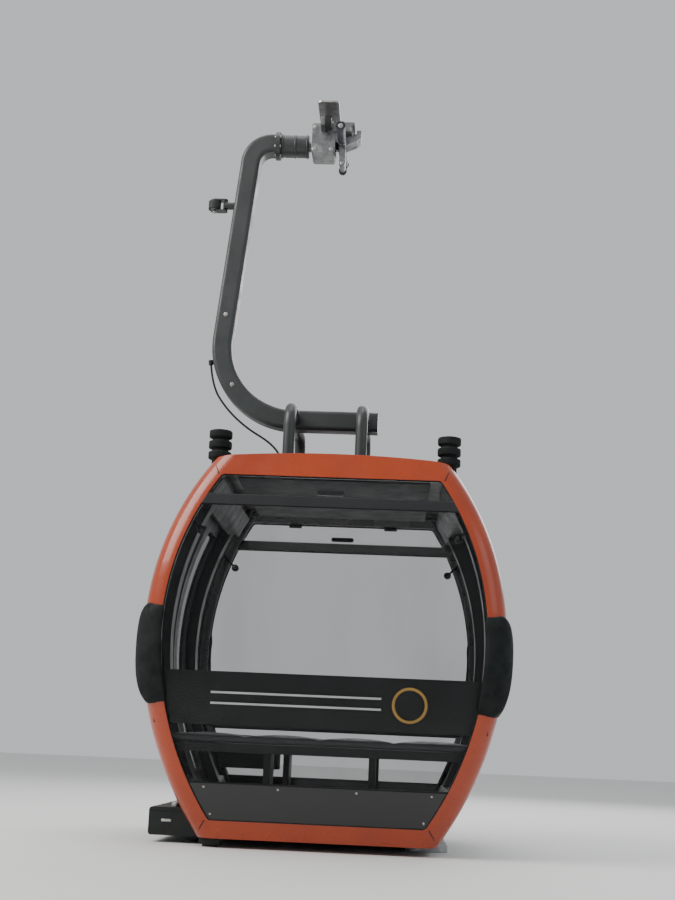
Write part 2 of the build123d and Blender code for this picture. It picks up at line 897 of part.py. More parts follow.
# Cable from a gland on the riser to a gland on the roof
route_points = [Vector(x, 0, roof_z + z) for x, z in cable_points]
runs = [(after - before).length for before, after in zip(route_points, route_points[1:])]
radii = []
for index in range(1, len(route_points) - 1):
    arrive = route_points[index] - route_points[index - 1]
    leave = route_points[index + 1] - route_points[index]
    turn = arrive.get_angle(leave)
    radii.append(0.45 * min(runs[index - 1], runs[index]) / tan(radians(turn / 2)))
print("cable runs", [round(run) for run in runs], "radii", [round(radius) for radius in radii])
with BuildPart() as cable:
    with BuildLine() as cable_route:
        FilletPolyline(*route_points, radius=radii)
    with BuildSketch(Plane(origin=route_points[0], z_dir=route_points[1] - route_points[0])):
        Circle(cable_radius)
    sweep(path=cable_route.wire())
cable_length = cable_route.wire().length
print("cable length", round(cable_length), "volume ratio", cable.part.volume / (cable_length * 3.14159 * 49))
save(cable.part, "hanger_cable")

bend_center = (riser_foot_x + riser_bend * tan(radians((90 + riser_lean) / 2)), beam_z + riser_bend)
clip_x, clip_z = cable_points[0][0], roof_z + cable_points[0][1] + gland_length / 2
with BuildPart() as glands:
    with BuildSketch(Plane(origin=route_points[0], z_dir=route_points[0] - route_points[1])):
        Circle(gland_radius)
    extrude(amount=gland_length)
    with BuildSketch(Plane.XZ):
        with Locations((clip_x + gland_length, clip_z)):
            Rectangle(2 * gland_length, gland_clip)
        with Locations(bend_center):
            Circle(riser_bend + arm_width / 2 + fit, mode=Mode.SUBTRACT)
    extrude(amount=gland_clip / 2, both=True)
    with BuildSketch(Plane(origin=route_points[-1], z_dir=route_points[-1] - route_points[-2])):
        Circle(gland_radius)
    extrude(amount=cable_points[-1][1] + gland_length)
    add(across_prism(-fit, 0, cabin_height + fit, roof_crown), mode=Mode.SUBTRACT)
save(glands.part, "cable_glands")

# Grip body: housing, fixed jaw over the rope, ears for the moving jaw, pins for rollers and hanger
with BuildPart() as grip:
    with BuildSketch(Plane.XZ):
        with Locations(((housing_left + housing_right) / 2, (housing_top + housing_bottom) / 2)):
            RectangleRounded(housing_right - housing_left, housing_top - housing_bottom, housing_corner)
    extrude(amount=grip_half_length, both=True)
    with BuildSketch(Plane.XZ):
        with Locations(((housing_right + jaw_right - margin) / 2, (jaw_top + jaw_bottom) / 2)):
            RectangleRounded(jaw_right - housing_right + margin, jaw_top - jaw_bottom, rope_radius / 3)
    extrude(amount=jaw_half_length, both=True)
    for side in (-1, 1):
        with BuildSketch(Plane.XZ.offset(side * (moving_jaw_half_length + fit))):
            with Locations((jaw_pivot_x, jaw_pivot_z)):
                Circle(jaw_boss_radius)
            with Locations(((jaw_pivot_x + housing_right - margin) / 2, (jaw_pivot_z + jaw_bottom) / 2)):
                Rectangle(jaw_pivot_x + jaw_boss_radius - housing_right + margin, jaw_bottom - jaw_pivot_z)
        extrude(amount=side * ear_thickness)
    with BuildSketch(Plane.XZ):
        Circle(rope_radius)
    extrude(amount=2 * jaw_half_length, both=True, mode=Mode.SUBTRACT)
    with BuildSketch(Plane.XZ):
        with Locations((jaw_pivot_x, jaw_pivot_z)):
            Circle(jaw_pin_radius)
    extrude(amount=moving_jaw_half_length + ear_thickness, both=True)
    with BuildSketch(Plane(origin=(housing_left + housing_corner, 0, head_z), z_dir=(-1, 0, 0))):
        Circle(head_pin_radius)
    extrude(amount=housing_left + housing_corner - head_pin_end)
    for side in (-1, 1):
        arm_x = roller_x - roller_width / 2 - roller_gap - roller_arm_width / 2
        with BuildSketch(Plane.XY.offset(roller_z - roller_arm_height / 2)):
            with Locations((arm_x, side * (roller_y + grip_half_length) / 2)):
                Rectangle(roller_arm_width, roller_y - grip_half_length + roller_arm_height)
        extrude(amount=roller_arm_height)
        with BuildSketch(Plane(origin=(arm_x, side * roller_y, roller_z), z_dir=(1, 0, 0))):
            Circle(roller_pin_radius)
        extrude(amount=roller_arm_width / 2 + roller_gap + roller_width + roller_gap)
save(grip.part, "grip_body")

# Moving jaw: hook under the rope and lever below the pivot
with BuildPart() as moving_jaw:
    with BuildSketch(Plane.XZ):
        with Locations((jaw_pivot_x, jaw_pivot_z)):
            Circle(jaw_boss_radius)
        with BuildLine():
            Polyline(
                (jaw_pivot_x, jaw_pivot_z + jaw_boss_radius),
                (-rope_radius, jaw_hook_high),
                (rope_radius / 2, jaw_hook_high),
                (rope_radius / 2, jaw_hook_top),
                (jaw_hook_right, jaw_hook_top),
                (jaw_hook_right, jaw_hook_low + rope_radius),
                (rope_radius, jaw_hook_low),
                (jaw_pivot_x, jaw_pivot_z - jaw_boss_radius),
                close=True,
            )
        make_face()
        with BuildLine():
            Polyline(
                (jaw_pivot_x - lever_width / 2, jaw_pivot_z),
                (jaw_pivot_x + lever_width / 2, jaw_pivot_z),
                (lever_end_x + lever_width / 2, lever_end_z),
                (lever_end_x - lever_width / 2, lever_end_z),
                close=True,
            )
        make_face()
        with Locations((lever_end_x, lever_end_z)):
            Circle(lever_width / 2)
        Circle(rope_radius, mode=Mode.SUBTRACT)
        with Locations((jaw_pivot_x, jaw_pivot_z)):
            Circle(jaw_pin_radius + pin_clearance, mode=Mode.SUBTRACT)
    extrude(amount=moving_jaw_half_length, both=True)
save(moving_jaw.part, "moving_jaw")

# Torsion bar tubes on both sides of the jaw's pivot
torsion_start = moving_jaw_half_length + fit + ear_thickness + fit
with BuildPart() as torsion:
    for side in (-1, 1):
        with BuildSketch(Plane.XZ.offset(side * torsion_start)):
            with Locations((jaw_pivot_x, jaw_pivot_z)):
                Circle(torsion_radius)
        extrude(amount=side * torsion_length)
        with BuildSketch(Plane.XZ.offset(side * (torsion_start + torsion_length))):
            with Locations((jaw_pivot_x, jaw_pivot_z)):
                RegularPolygon(torsion_cap_radius, 6)
        extrude(amount=side * torsion_cap_length)
save(torsion.part, "torsion_tubes")

# Drive plate on its posts
with BuildPart() as plate:
    with BuildSketch(Plane.XY.offset(plate_z)):
        with Locations(((plate_left + plate_right) / 2, 0)):
            RectangleRounded(plate_right - plate_left, 2 * plate_half_length, arm_corner)
    extrude(amount=plate_thickness)
    with BuildSketch(Plane.XY.offset(plate_z)):
        with Locations(*(((housing_left + housing_right) / 2, side * plate_post_y) for side in (-1, 1))):
            Circle(plate_post_radius)
    extrude(amount=housing_top + fit - plate_z)
save(plate.part, "drive_plate")

# Running rollers
with BuildPart() as roller:
    with BuildSketch(Plane(origin=(roller_x - roller_width / 2, -roller_y, roller_z), z_dir=(1, 0, 0))):
        Circle(roller_radius)
        Circle(roller_pin_radius + pin_clearance, mode=Mode.SUBTRACT)
    extrude(amount=roller_width)
save_ends(roller.part, "running_roller")
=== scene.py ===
import math

import bpy
from mathutils import Matrix, Vector
from mathutils.kdtree import KDTree


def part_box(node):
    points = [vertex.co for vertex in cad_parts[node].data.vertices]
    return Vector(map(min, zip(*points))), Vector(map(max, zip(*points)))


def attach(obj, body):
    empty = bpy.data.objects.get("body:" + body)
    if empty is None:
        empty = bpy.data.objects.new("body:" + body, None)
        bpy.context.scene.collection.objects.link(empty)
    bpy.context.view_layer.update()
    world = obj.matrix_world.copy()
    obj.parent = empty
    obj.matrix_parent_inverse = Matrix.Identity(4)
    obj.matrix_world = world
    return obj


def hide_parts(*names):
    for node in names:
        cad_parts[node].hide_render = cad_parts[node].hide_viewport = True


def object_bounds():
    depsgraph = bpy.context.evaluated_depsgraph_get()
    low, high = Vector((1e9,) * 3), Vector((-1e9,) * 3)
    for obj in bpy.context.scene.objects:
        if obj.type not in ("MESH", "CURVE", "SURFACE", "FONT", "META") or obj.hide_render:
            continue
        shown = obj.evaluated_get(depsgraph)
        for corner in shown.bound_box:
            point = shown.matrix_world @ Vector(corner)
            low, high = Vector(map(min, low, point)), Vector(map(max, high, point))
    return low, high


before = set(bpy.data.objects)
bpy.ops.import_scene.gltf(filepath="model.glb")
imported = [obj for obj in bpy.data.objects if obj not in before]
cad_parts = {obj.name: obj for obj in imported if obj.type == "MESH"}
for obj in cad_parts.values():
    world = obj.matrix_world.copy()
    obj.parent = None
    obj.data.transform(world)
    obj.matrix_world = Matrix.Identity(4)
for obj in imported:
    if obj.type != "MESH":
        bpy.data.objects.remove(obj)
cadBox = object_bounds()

# Cable car cabin with its hanger and rope grip, in metres.
# +Y runs along the rope, +Z is up, the doors are on the -X side.

# View and light
view = {
    "place": (0.43, -8.46, -4.11),  # where the photo was taken from
    "target": (0.0, 0.0, -2.62),
    "roll": 2.5,
    "lens": 53.0,
    "sensor": 36.0,
    "shiftUp": 0.07,
}
studio = {
    "sky": (0.86, 0.88, 0.9),
    "skyStrength": 0.72,
    "floor": (0.74, 0.74, 0.73),
    "floorSize": 60.0,
    "floorDrop": 0.001,
    "floorRough": 0.75,
    "softboxes": (
        # place, target, size, watts, tint
        ((-5.6, -3.4, 2.2), (0.0, 0.0, -3.8), 5.5, 640.0, (1.0, 0.97, 0.93)),
        ((5.0, -4.0, -0.5), (0.0, 0.0, -3.0), 3.0, 30.0, (0.92, 0.96, 1.0)),
        ((2.4, 6.6, 1.6), (0.0, 0.0, -3.2), 7.0, 440.0, (1.0, 1.0, 1.0)),
        ((0.0, 0.0, 4.0), (0.0, 0.0, -2.5), 4.0, 130.0, (1.0, 1.0, 1.0)),
    ),
}


def aim(thing, target, roll=0.0):
    # Turns a lamp or camera towards a point.
    direction = Vector(target) - thing.location
    turn = direction.to_track_quat("-Z", "Y").to_matrix().to_4x4()
    thing.rotation_euler = (turn @ Matrix.Rotation(math.radians(roll), 4, "Z")).to_euler()


def makeStudio():
    bpy.ops.object.camera_add(location=view["place"])
    camera = bpy.context.object
    camera.data.lens = view["lens"]
    camera.data.sensor_fit = "VERTICAL"
    camera.data.sensor_height = view["sensor"]
    camera.data.shift_y = view["shiftUp"]
    camera.data.dof.use_dof = False
    aim(camera, view["target"], view["roll"])
    bpy.context.scene.camera = camera
    for place, target, size, watts, tint in studio["softboxes"]:
        bpy.ops.object.light_add(type="AREA", location=place)
        lamp = bpy.context.object
        lamp.data.shape = "SQUARE"
        lamp.data.size = size
        lamp.data.energy = watts
        lamp.data.color = tint
        aim(lamp, target)
    world = bpy.data.worlds.new("studioSky")
    world.use_nodes = True
    sky = world.node_tree.nodes["Background"]
    sky.inputs["Color"].default_value = (*studio["sky"], 1.0)
    sky.inputs["Strength"].default_value = studio["skyStrength"]
    bpy.context.scene.world = world
    level = cadBox[0][2] - studio["floorDrop"]
    bpy.ops.mesh.primitive_plane_add(size=studio["floorSize"], location=(0, 0, level))
    floor = bpy.context.object
    floor.name = "studioFloor"
    paint = bpy.data.materials.new("studioFloor")
    paint.use_nodes = True
    shader = paint.node_tree.nodes["Principled BSDF"]
    shader.inputs["Base Color"].default_value = (*studio["floor"], 1.0)
    shader.inputs["Roughness"].default_value = studio["floorRough"]
    floor.data.materials.append(paint)


makeStudio()
print("stage: camera, lights and floor")

# Each finish: two tones mottled at patch size, fine grain as relief, worn or dusty spots.
finishes = {
    "hoopPaint": dict(
        tones=((0.37, 0.038, 0.0), (0.32, 0.031, 0.0)), patch=3.0, rough=(0.22, 0.36), coat=0.3,
        grain=900.0, relief=0.012, dust=0.25, scratch=0.12, lining=(0.010, 0.010, 0.011),
    ),
    "blackFrame": dict(
        tones=((0.006, 0.006, 0.007), (0.010, 0.010, 0.011)), patch=4.0, rough=(0.28, 0.48), coat=0.15,
        grain=1400.0, relief=0.03, dust=0.3, scratch=0.10,
    ),
    "blackPanel": dict(
        tones=((0.004, 0.005, 0.006), (0.007, 0.008, 0.009)), patch=2.5, rough=(0.12, 0.26), coat=0.4,
        grain=600.0, relief=0.008, dust=0.2, scratch=0.15,
    ),
    "roofPaint": dict(
        tones=((0.030, 0.012, 0.010), (0.024, 0.011, 0.010)), patch=2.0, rough=(0.35, 0.6), coat=0.1,
        grain=900.0, relief=0.03, dust=0.22, scratch=0.10,
    ),
    "frameMetal": dict(
        tones=((0.46, 0.47, 0.48), (0.32, 0.33, 0.34)), patch=12.0, rough=(0.30, 0.52), metal=0.9,
        grain=350.0, relief=0.06, brush=(1.0, 0.03, 1.0), dust=0.3, scratch=0.3,
    ),
    "boxPlastic": dict(
        tones=((0.006, 0.010, 0.009), (0.010, 0.015, 0.014)), patch=5.0, rough=(0.45, 0.65),
        grain=1100.0, relief=0.10, dust=0.5, scratch=0.12, shine=0.35,
    ),
    "benchPlastic": dict(
        tones=((0.010, 0.0105, 0.0115), (0.015, 0.0155, 0.017)), patch=6.0, rough=(0.42, 0.6),
        grain=1500.0, relief=0.05, dust=0.2, scratch=0.1, shine=0.4,
    ),
    "padRubber": dict(
        tones=((0.0035, 0.0062, 0.0058), (0.007, 0.0105, 0.0098)), patch=7.0, rough=(0.62, 0.85),
        grain=800.0, relief=0.12, dust=0.35, scratch=0.2, shine=0.25,
    ),
    "ballPlastic": dict(
        tones=((0.004, 0.004, 0.0045), (0.007, 0.007, 0.0075)), patch=40.0, rough=(0.14, 0.28), coat=0.4,
        grain=2500.0, relief=0.02, dust=0.1, scratch=0.1,
    ),
    "cableRubber": dict(
        tones=((0.005, 0.005, 0.0055), (0.008, 0.008, 0.0085)), patch=30.0, rough=(0.45, 0.65),
        grain=2500.0, relief=0.05, dust=0.2, scratch=0.1, shine=0.35,
    ),
    "sealRubber": dict(
        tones=((0.0035, 0.0035, 0.004), (0.006, 0.006, 0.0065)), patch=20.0, rough=(0.55, 0.75),
        grain=2000.0, relief=0.05, dust=0.25, scratch=0.1, shine=0.3,
    ),
    "hangerPaint": dict(
        tones=((0.026, 0.031, 0.031), (0.018, 0.022, 0.022)), patch=3.5, rough=(0.36, 0.58), coat=0.1,
        grain=500.0, relief=0.05, dust=0.4, scratch=0.2,
    ),
    "gripSteel": dict(
        tones=((0.27, 0.28, 0.28), (0.17, 0.17, 0.18)), patch=14.0, rough=(0.36, 0.6), metal=0.85,
        grain=300.0, relief=0.10, dust=0.35, scratch=0.25,
    ),
    "springSteel": dict(
        tones=((0.060, 0.063, 0.075), (0.036, 0.038, 0.046)), patch=12.0, rough=(0.3, 0.5), metal=0.7,
        grain=600.0, relief=0.05, dust=0.3, scratch=0.2,
    ),
    "zincSteel": dict(
        tones=((0.52, 0.51, 0.46), (0.38, 0.38, 0.36)), patch=30.0, rough=(0.26, 0.44), metal=0.95,
        grain=900.0, relief=0.04, dust=0.2, scratch=0.3,
    ),
    "wornSteel": dict(
        tones=((0.50, 0.50, 0.49), (0.38, 0.38, 0.38)), patch=18.0, rough=(0.28, 0.42), metal=1.0,
        grain=260.0, relief=0.006, brush=(1.0, 0.02, 1.0), dust=0.0, scratch=0.3,
    ),
    "rollerRubber": dict(
        tones=((0.016, 0.0165, 0.018), (0.026, 0.0265, 0.028)), patch=25.0, rough=(0.55, 0.75),
        grain=1300.0, relief=0.08, dust=0.3, scratch=0.2, shine=0.35,
    ),
    "paleTrim": dict(
        tones=((0.42, 0.43, 0.43), (0.36, 0.37, 0.37)), patch=8.0, rough=(0.35, 0.5),
        grain=1200.0, relief=0.01, dust=0.2, scratch=0.2,
    ),
    "goldTrim": dict(
        tones=((0.33, 0.20, 0.045), (0.27, 0.16, 0.036)), patch=8.0, rough=(0.3, 0.45), metal=0.3,
        grain=1200.0, relief=0.01, dust=0.1, scratch=0.2,
    ),
    "liningPanel": dict(
        tones=((0.085, 0.088, 0.092), (0.068, 0.070, 0.074)), patch=5.0, rough=(0.5, 0.7),
        grain=1000.0, relief=0.06, dust=0.1, scratch=0.1,
    ),
}
wear = {
    "patchEdge": (0.35, 0.65),  # noise values between which one tone gives way to the other
    "softEdge": (0.3, 0.7),
    "roughScale": 2.3,
    "coatRough": 0.06,
    "dustTone": (0.17, 0.155, 0.135),
    "dustFacing": (0.45, 0.95),  # how far up a surface must face to hold dust
    "dustSize": 14.0,
    "dustEdge": (0.32, 0.78),
    "dustRough": 0.35,
    "bottomTone": (0.045, 0.030, 0.020),
    "splash": (-4.32, -4.66),  # heights between which a darker brown tone fades in towards the bottom
    "splashShare": 0.45,
    "scratchSize": 55.0,
    "scratchStretch": 0.08,
    "scratchEdge": (0.64, 0.76),
    "scratchLight": (1.6, 0.02),
    "scratchRough": 0.15,
    "waviness": 0.0012,
    "waveSize": 2.6,
    "liningMiddle": -3.55,
    "liningEdge": (-0.25, -0.35),
    "edge": 0.004,  # radius of the corners that catch light
}


class Graph:
    # Short hand for adding and joining nodes.
    def __init__(self, material):
        material.use_nodes = True
        self.tree = material.node_tree
        self.shader = self.tree.nodes["Principled BSDF"]
        source = self.add("ShaderNodeTexCoord")
        self.place = source.outputs["Object"]
        self.normal = source.outputs["Normal"]

    def add(self, kind, links=None, **values):
        node = self.tree.nodes.new(kind)
        for key, value in values.items():
            if key in node.inputs:
                node.inputs[key].default_value = value
            else:
                setattr(node, key, value)
        for socket, source in (links or {}).items():
            self.tree.links.new(source, node.inputs[socket])
        return node

    def join(self, source, socket):
        self.tree.links.new(source, self.shader.inputs[socket])

    def noise(self, scale, detail=4.0, stretch=None, source=None):
        place = source or self.place
        if stretch:
            place = self.add("ShaderNodeMapping", {"Vector": place}, Scale=stretch).outputs["Vector"]
        return self.add("ShaderNodeTexNoise", {"Vector": place}, Scale=scale, Detail=detail).outputs["Fac"]

    def spread(self, source, low, high, outLow=0.0, outHigh=1.0):
        node = self.add("ShaderNodeMapRange", {"Value": source}, interpolation_type="SMOOTHSTEP")
        limits = {"From Min": low, "From Max": high, "To Min": outLow, "To Max": outHigh}
        for socket, value in limits.items():
            node.inputs[socket].default_value = value
        return node.outputs["Result"]

    def maths(self, operation, first, second):
        node = self.add("ShaderNodeMath", operation=operation)
        for index, value in enumerate((first, second)):
            if isinstance(value, (int, float)):
                node.inputs[index].default_value = value
            else:
                self.tree.links.new(value, node.inputs[index])
        return node.outputs["Value"]

    def blend(self, factor, first, second):
        node = self.add("ShaderNodeMix", data_type="RGBA")
        self.tree.links.new(factor, node.inputs["Factor"])
        for name, value in (("A", first), ("B", second)):
            socket = [item for item in node.inputs if item.name == name and item.type == "RGBA"][0]
            if isinstance(value, tuple):
                socket.default_value = (*value, 1.0)
            else:
                self.tree.links.new(value, socket)
        return [item for item in node.outputs if item.type == "RGBA"][0]


def bump(graph, height, depth, under=None):
    links = {"Height": height}
    if under:
        links["Normal"] = under
    node = graph.add("ShaderNodeBump", links, Strength=1.0, Distance=depth)
    graph.join(node.outputs["Normal"], "Normal")


def dusted(graph, share, colour, rough, normal, place):
    # Dust on what faces up, and a darker brown tone in patches low down.
    facing = graph.spread(normal.outputs["Z"], *wear["dustFacing"])
    specks = graph.spread(graph.noise(wear["dustSize"], 9.0), *wear["dustEdge"])
    dusty = graph.maths("MULTIPLY", graph.maths("MULTIPLY", facing, specks), share)
    colour = graph.blend(dusty, colour, wear["dustTone"])
    # darker brown tone in patches, fading in towards the bottom
    splash = graph.spread(place.outputs["Z"], *wear["splash"])
    splash = graph.maths("MULTIPLY", graph.maths("MULTIPLY", splash, specks), wear["splashShare"])
    colour = graph.blend(graph.maths("MULTIPLY", splash, share), colour, wear["bottomTone"])
    return colour, graph.maths("ADD", rough, graph.maths("MULTIPLY", dusty, wear["dustRough"]))


def lined(graph, tone, colour, normal, place):
    # Faces turned towards the cabin's inside carry a dark lining.
    inward = []
    for axis, level in (("X", 0.0), ("Y", 0.0), ("Z", wear["liningMiddle"])):
        side = graph.maths("SIGN", graph.maths("SUBTRACT", place.outputs[axis], level), 0.0)
        inward.append(graph.maths("MULTIPLY", side, normal.outputs[axis]))
    least = graph.maths("MINIMUM", graph.maths("MINIMUM", *inward[:2]), inward[2])
    return graph.blend(graph.spread(least, *wear["liningEdge"]), colour, tone)


def makeFinish(name, values):
    material = bpy.data.materials.new(name)
    graph = Graph(material)
    first, second = values["tones"]
    patches = graph.spread(graph.noise(values["patch"], 6.0), *wear["patchEdge"])
    colour = graph.blend(patches, first, second)
    scratch = graph.noise(wear["scratchSize"], 2.0, (1.0, 1.0, wear["scratchStretch"]))
    scratched = graph.maths("MULTIPLY", graph.spread(scratch, *wear["scratchEdge"]), values["scratch"])
    gain, lift = wear["scratchLight"]
    colour = graph.blend(scratched, colour, tuple(min(1.0, gain * part + lift) for part in first))
    rough = graph.noise(values["patch"] * wear["roughScale"], 5.0)
    rough = graph.spread(rough, *wear["softEdge"], *values["rough"])
    normal = graph.add("ShaderNodeSeparateXYZ", {"Vector": graph.normal})
    place = graph.add("ShaderNodeSeparateXYZ", {"Vector": graph.place})
    if values["dust"]:
        colour, rough = dusted(graph, values["dust"], colour, rough, normal, place)
    if "lining" in values:
        colour = lined(graph, values["lining"], colour, normal, place)
    graph.join(colour, "Base Color")
    rough = graph.maths("ADD", rough, graph.maths("MULTIPLY", scratched, wear["scratchRough"]))
    graph.join(rough, "Roughness")
    graph.shader.inputs["Metallic"].default_value = values.get("metal", 0.0)
    graph.shader.inputs["Coat Weight"].default_value = values.get("coat", 0.0)
    graph.shader.inputs["Coat Roughness"].default_value = wear["coatRough"]
    graph.shader.inputs["Specular IOR Level"].default_value = values.get("shine", 0.5)
    fine = graph.noise(values["grain"], 3.0, values.get("brush"))
    soft = graph.add("ShaderNodeBevel", samples=4, Radius=wear["edge"])
    links = {"Height": graph.noise(wear["waveSize"], 2.0), "Normal": soft.outputs["Normal"]}
    waves = graph.add("ShaderNodeBump", links, Distance=wear["waviness"])
    bump(graph, fine, values["relief"] / values["grain"], waves.outputs["Normal"])
    return material


glazing = {
    "tone": (0.010, 0.012, 0.013),
    "index": 1.45,
    "clear": {"tintedGlass": 0.10, "sideGlass": 0.16, "ventGlass": 0.13},  # how much each face dims
    "edge": 0.5,
    "glance": 0.35,
    "smear": 0.04,
    "smearSize": 2.2,
    "smearStretch": (1.0, 1.0, 0.35),
    "smearEdge": (0.45, 0.75),
    "smearRough": 0.08,
    "waveSize": 1.7,
    "waviness": 0.0010,
}


def makeGlass(name, dim):
    # Thin tinted glazing: mostly see-through face on, a mirror at a glance.
    material = bpy.data.materials.new(name)
    graph = Graph(material)
    graph.shader.inputs["Base Color"].default_value = (*glazing["tone"], 1.0)
    graph.shader.inputs["IOR"].default_value = glazing["index"]
    smear = graph.noise(glazing["smearSize"], 6.0, glazing["smearStretch"])
    smear = graph.spread(smear, *glazing["smearEdge"])
    graph.join(graph.maths("MULTIPLY", smear, glazing["smearRough"]), "Roughness")
    glance = graph.add("ShaderNodeLayerWeight", Blend=glazing["glance"]).outputs["Fresnel"]
    glance = graph.spread(glance, 0.0, 1.0, dim, glazing["edge"])
    graph.join(graph.maths("ADD", glance, graph.maths("MULTIPLY", smear, glazing["smear"])), "Alpha")
    bump(graph, graph.noise(glazing["waveSize"], 2.0), glazing["waviness"])
    return material


vinyl = {
    "tones": ((0.060, 0.062, 0.067), (0.046, 0.048, 0.052)),
    "patch": 5.0,
    "pebble": 420.0,
    "pebbleEdge": (0.25, 0.75),
    "pebbleDepth": 0.00018,
    # painted shade in the pebble grooves, as a share of the darker tone
    "paintedGrooveShade": 0.75,
    "roughSize": 12.0,
    "rough": (0.46, 0.62),
    "sheen": 0.15,
    "sheenRough": 0.5,
    "crease": 9.0,
    "creaseStretch": (1.0, 1.0, 2.5),
    "creaseHeight": 9.0,
}


def makeVinyl():
    # Grey coated seat cloth with a pebbled grain and faint creases; the grooves between the pebbles carry
    # painted shade.
    material = bpy.data.materials.new("seatVinyl")
    graph = Graph(material)
    patches = graph.spread(graph.noise(vinyl["patch"], 6.0), *wear["softEdge"])
    colour = graph.blend(patches, *vinyl["tones"])
    pebbles = graph.add("ShaderNodeTexVoronoi", {"Vector": graph.place}, Scale=vinyl["pebble"])
    grooves = graph.spread(pebbles.outputs["Distance"], *vinyl["pebbleEdge"])
    # painted shade: the grooves between the pebbles are darkened in the colour
    shade = tuple(vinyl["paintedGrooveShade"] * part for part in vinyl["tones"][1])
    graph.join(graph.blend(grooves, colour, shade), "Base Color")
    rough = graph.spread(graph.noise(vinyl["roughSize"], 4.0), *wear["softEdge"], *vinyl["rough"])
    graph.join(rough, "Roughness")
    graph.shader.inputs["Sheen Weight"].default_value = vinyl["sheen"]
    graph.shader.inputs["Sheen Roughness"].default_value = vinyl["sheenRough"]
    creases = graph.noise(vinyl["crease"], 5.0, vinyl["creaseStretch"])
    creases = graph.maths("MULTIPLY", creases, vinyl["creaseHeight"])
    bump(graph, graph.maths("SUBTRACT", creases, grooves), vinyl["pebbleDepth"])
    return material


flooring = {
    "tones": ((0.040, 0.041, 0.043), (0.058, 0.058, 0.059)),
    "patch": 3.0,
    "wornSize": 1.3,
    "wornEdge": (0.5, 0.7),
    # stud tops painted lighter: a painted highlight, partly wear where worn
    "studHighlightWearTone": (0.12, 0.12, 0.12),
    "studHighlightWearShare": (0.5, 0.25),  # of the worn patches, and everywhere
    "studSpacing": 0.03,
    "studRadius": 0.30,
    "studEdge": 0.06,
    "studDepth": 0.0012,
    "roughSize": 8.0,
    "rough": (0.5, 0.72),
}


def makeFlooring():
    # Dark rubber flooring with rows of round studs, their tops painted lighter: a painted highlight
    # everywhere, with more of it from wear in worn patches.
    material = bpy.data.materials.new("studdedFlooring")
    graph = Graph(material)
    patches = graph.spread(graph.noise(flooring["patch"], 6.0), *wear["patchEdge"])
    worn = graph.spread(graph.noise(flooring["wornSize"], 3.0), *flooring["wornEdge"])
    scale = 1.0 / flooring["studSpacing"]
    cells = graph.add("ShaderNodeMapping", {"Vector": graph.place}, Scale=(scale, scale, 0.0))
    cell = graph.add("ShaderNodeVectorMath", {"Vector": cells.outputs["Vector"]}, operation="FRACTION")
    middle = graph.add("ShaderNodeVectorMath", {"Vector": cell.outputs["Vector"]}, operation="SUBTRACT")
    middle.inputs[1].default_value = (0.5, 0.5, 0.0)
    distance = graph.add("ShaderNodeVectorMath", {"Vector": middle.outputs["Vector"]}, operation="LENGTH")
    radius = flooring["studRadius"]
    stud = graph.spread(distance.outputs["Value"], radius + flooring["studEdge"], radius)
    colour = graph.blend(patches, *flooring["tones"])
    share, least = flooring["studHighlightWearShare"]
    lift = graph.maths("ADD", graph.maths("MULTIPLY", worn, share), least)
    # painted highlight on the stud tops, stronger in the worn patches from wear
    colour = graph.blend(graph.maths("MULTIPLY", stud, lift), colour, flooring["studHighlightWearTone"])
    graph.join(colour, "Base Color")
    rough = graph.spread(graph.noise(flooring["roughSize"], 4.0), *wear["softEdge"], *flooring["rough"])
    graph.join(rough, "Roughness")
    bump(graph, stud, flooring["studDepth"])
    return material


paints = {name: makeFinish(name, values) for name, values in finishes.items()}
paints.update({name: makeGlass(name, dim) for name, dim in glazing["clear"].items()})
paints["seatVinyl"] = makeVinyl()
paints["studdedFlooring"] = makeFlooring()

nodeFinishes = {
    "hoopPaint": ("end_frame_front", "end_frame_rear"),
    "blackFrame": ("side_frame", "door_portal", "door_header", "door_leaf_front", "door_leaf_rear"),
    "blackPanel": ("end_panels", "vent_rails", "vent_pulls"),
    "roofPaint": ("roof_shell",),
    "studdedFlooring": ("floor_plate",),
    "frameMetal": ("underframe", "guide_shoe"),
    "boxPlastic": ("door_gear_box", "equipment_box"),
    "padRubber": ("corner_pads", "roof_buffers"),
    "ballPlastic": ("grab_balls",),
    "cableRubber": ("cable_glands", "hanger_cable"),
    "hangerPaint": ("hanger_arm", "hanger_head", "cradle_hoops", "cradle_feet", "guide_arm"),
    "gripSteel": ("grip_body", "moving_jaw"),
    "springSteel": ("torsion_tubes",),
    "wornSteel": ("drive_plate",),
    "zincSteel": (
        "door_crank_front", "door_crank_rear", "door_link_front", "door_link_rear",
        "door_bracket_front", "door_bracket_rear",
    ),
    "rollerRubber": ("running_roller_front", "running_roller_rear", "guide_roller"),
    "tintedGlass": ("end_glass_front", "end_glass_rear"),
    "ventGlass": ("vent_glass",),
    "sideGlass": ("side_glass", "door_side_glass", "door_leaf_glass_front", "door_leaf_glass_rear"),
    "benchPlastic": ("bench_front", "bench_rear", "backrests"),
}
for finish, names in nodeFinishes.items():
    for name in names:
        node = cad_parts[name]
        for slot in node.material_slots:
            slot.material = paints[finish]
missing = set(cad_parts) - {name for names in nodeFinishes.values() for name in names}
print("stage: finishes on", len(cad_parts), "nodes, without one:", sorted(missing))

# The cabin's outer skin, as in the part.
shell = {
    "bottom": -4.65,
    "height": 2.2,
    "belt": 1.15,
    "side": (1.04, 0.68, 0.70),  # half width at belt, bottom and top
    "end": (1.00, 0.85, 0.85),  # half length at belt, bottom and top
    "corner": 0.12,
    "glassInset": 0.010,
    "roof": -2.45,
}
flip = Matrix.Diagonal((1.0, -1.0, 1.0, 1.0))
ends = {"front": Matrix.Identity(4), "rear": flip}


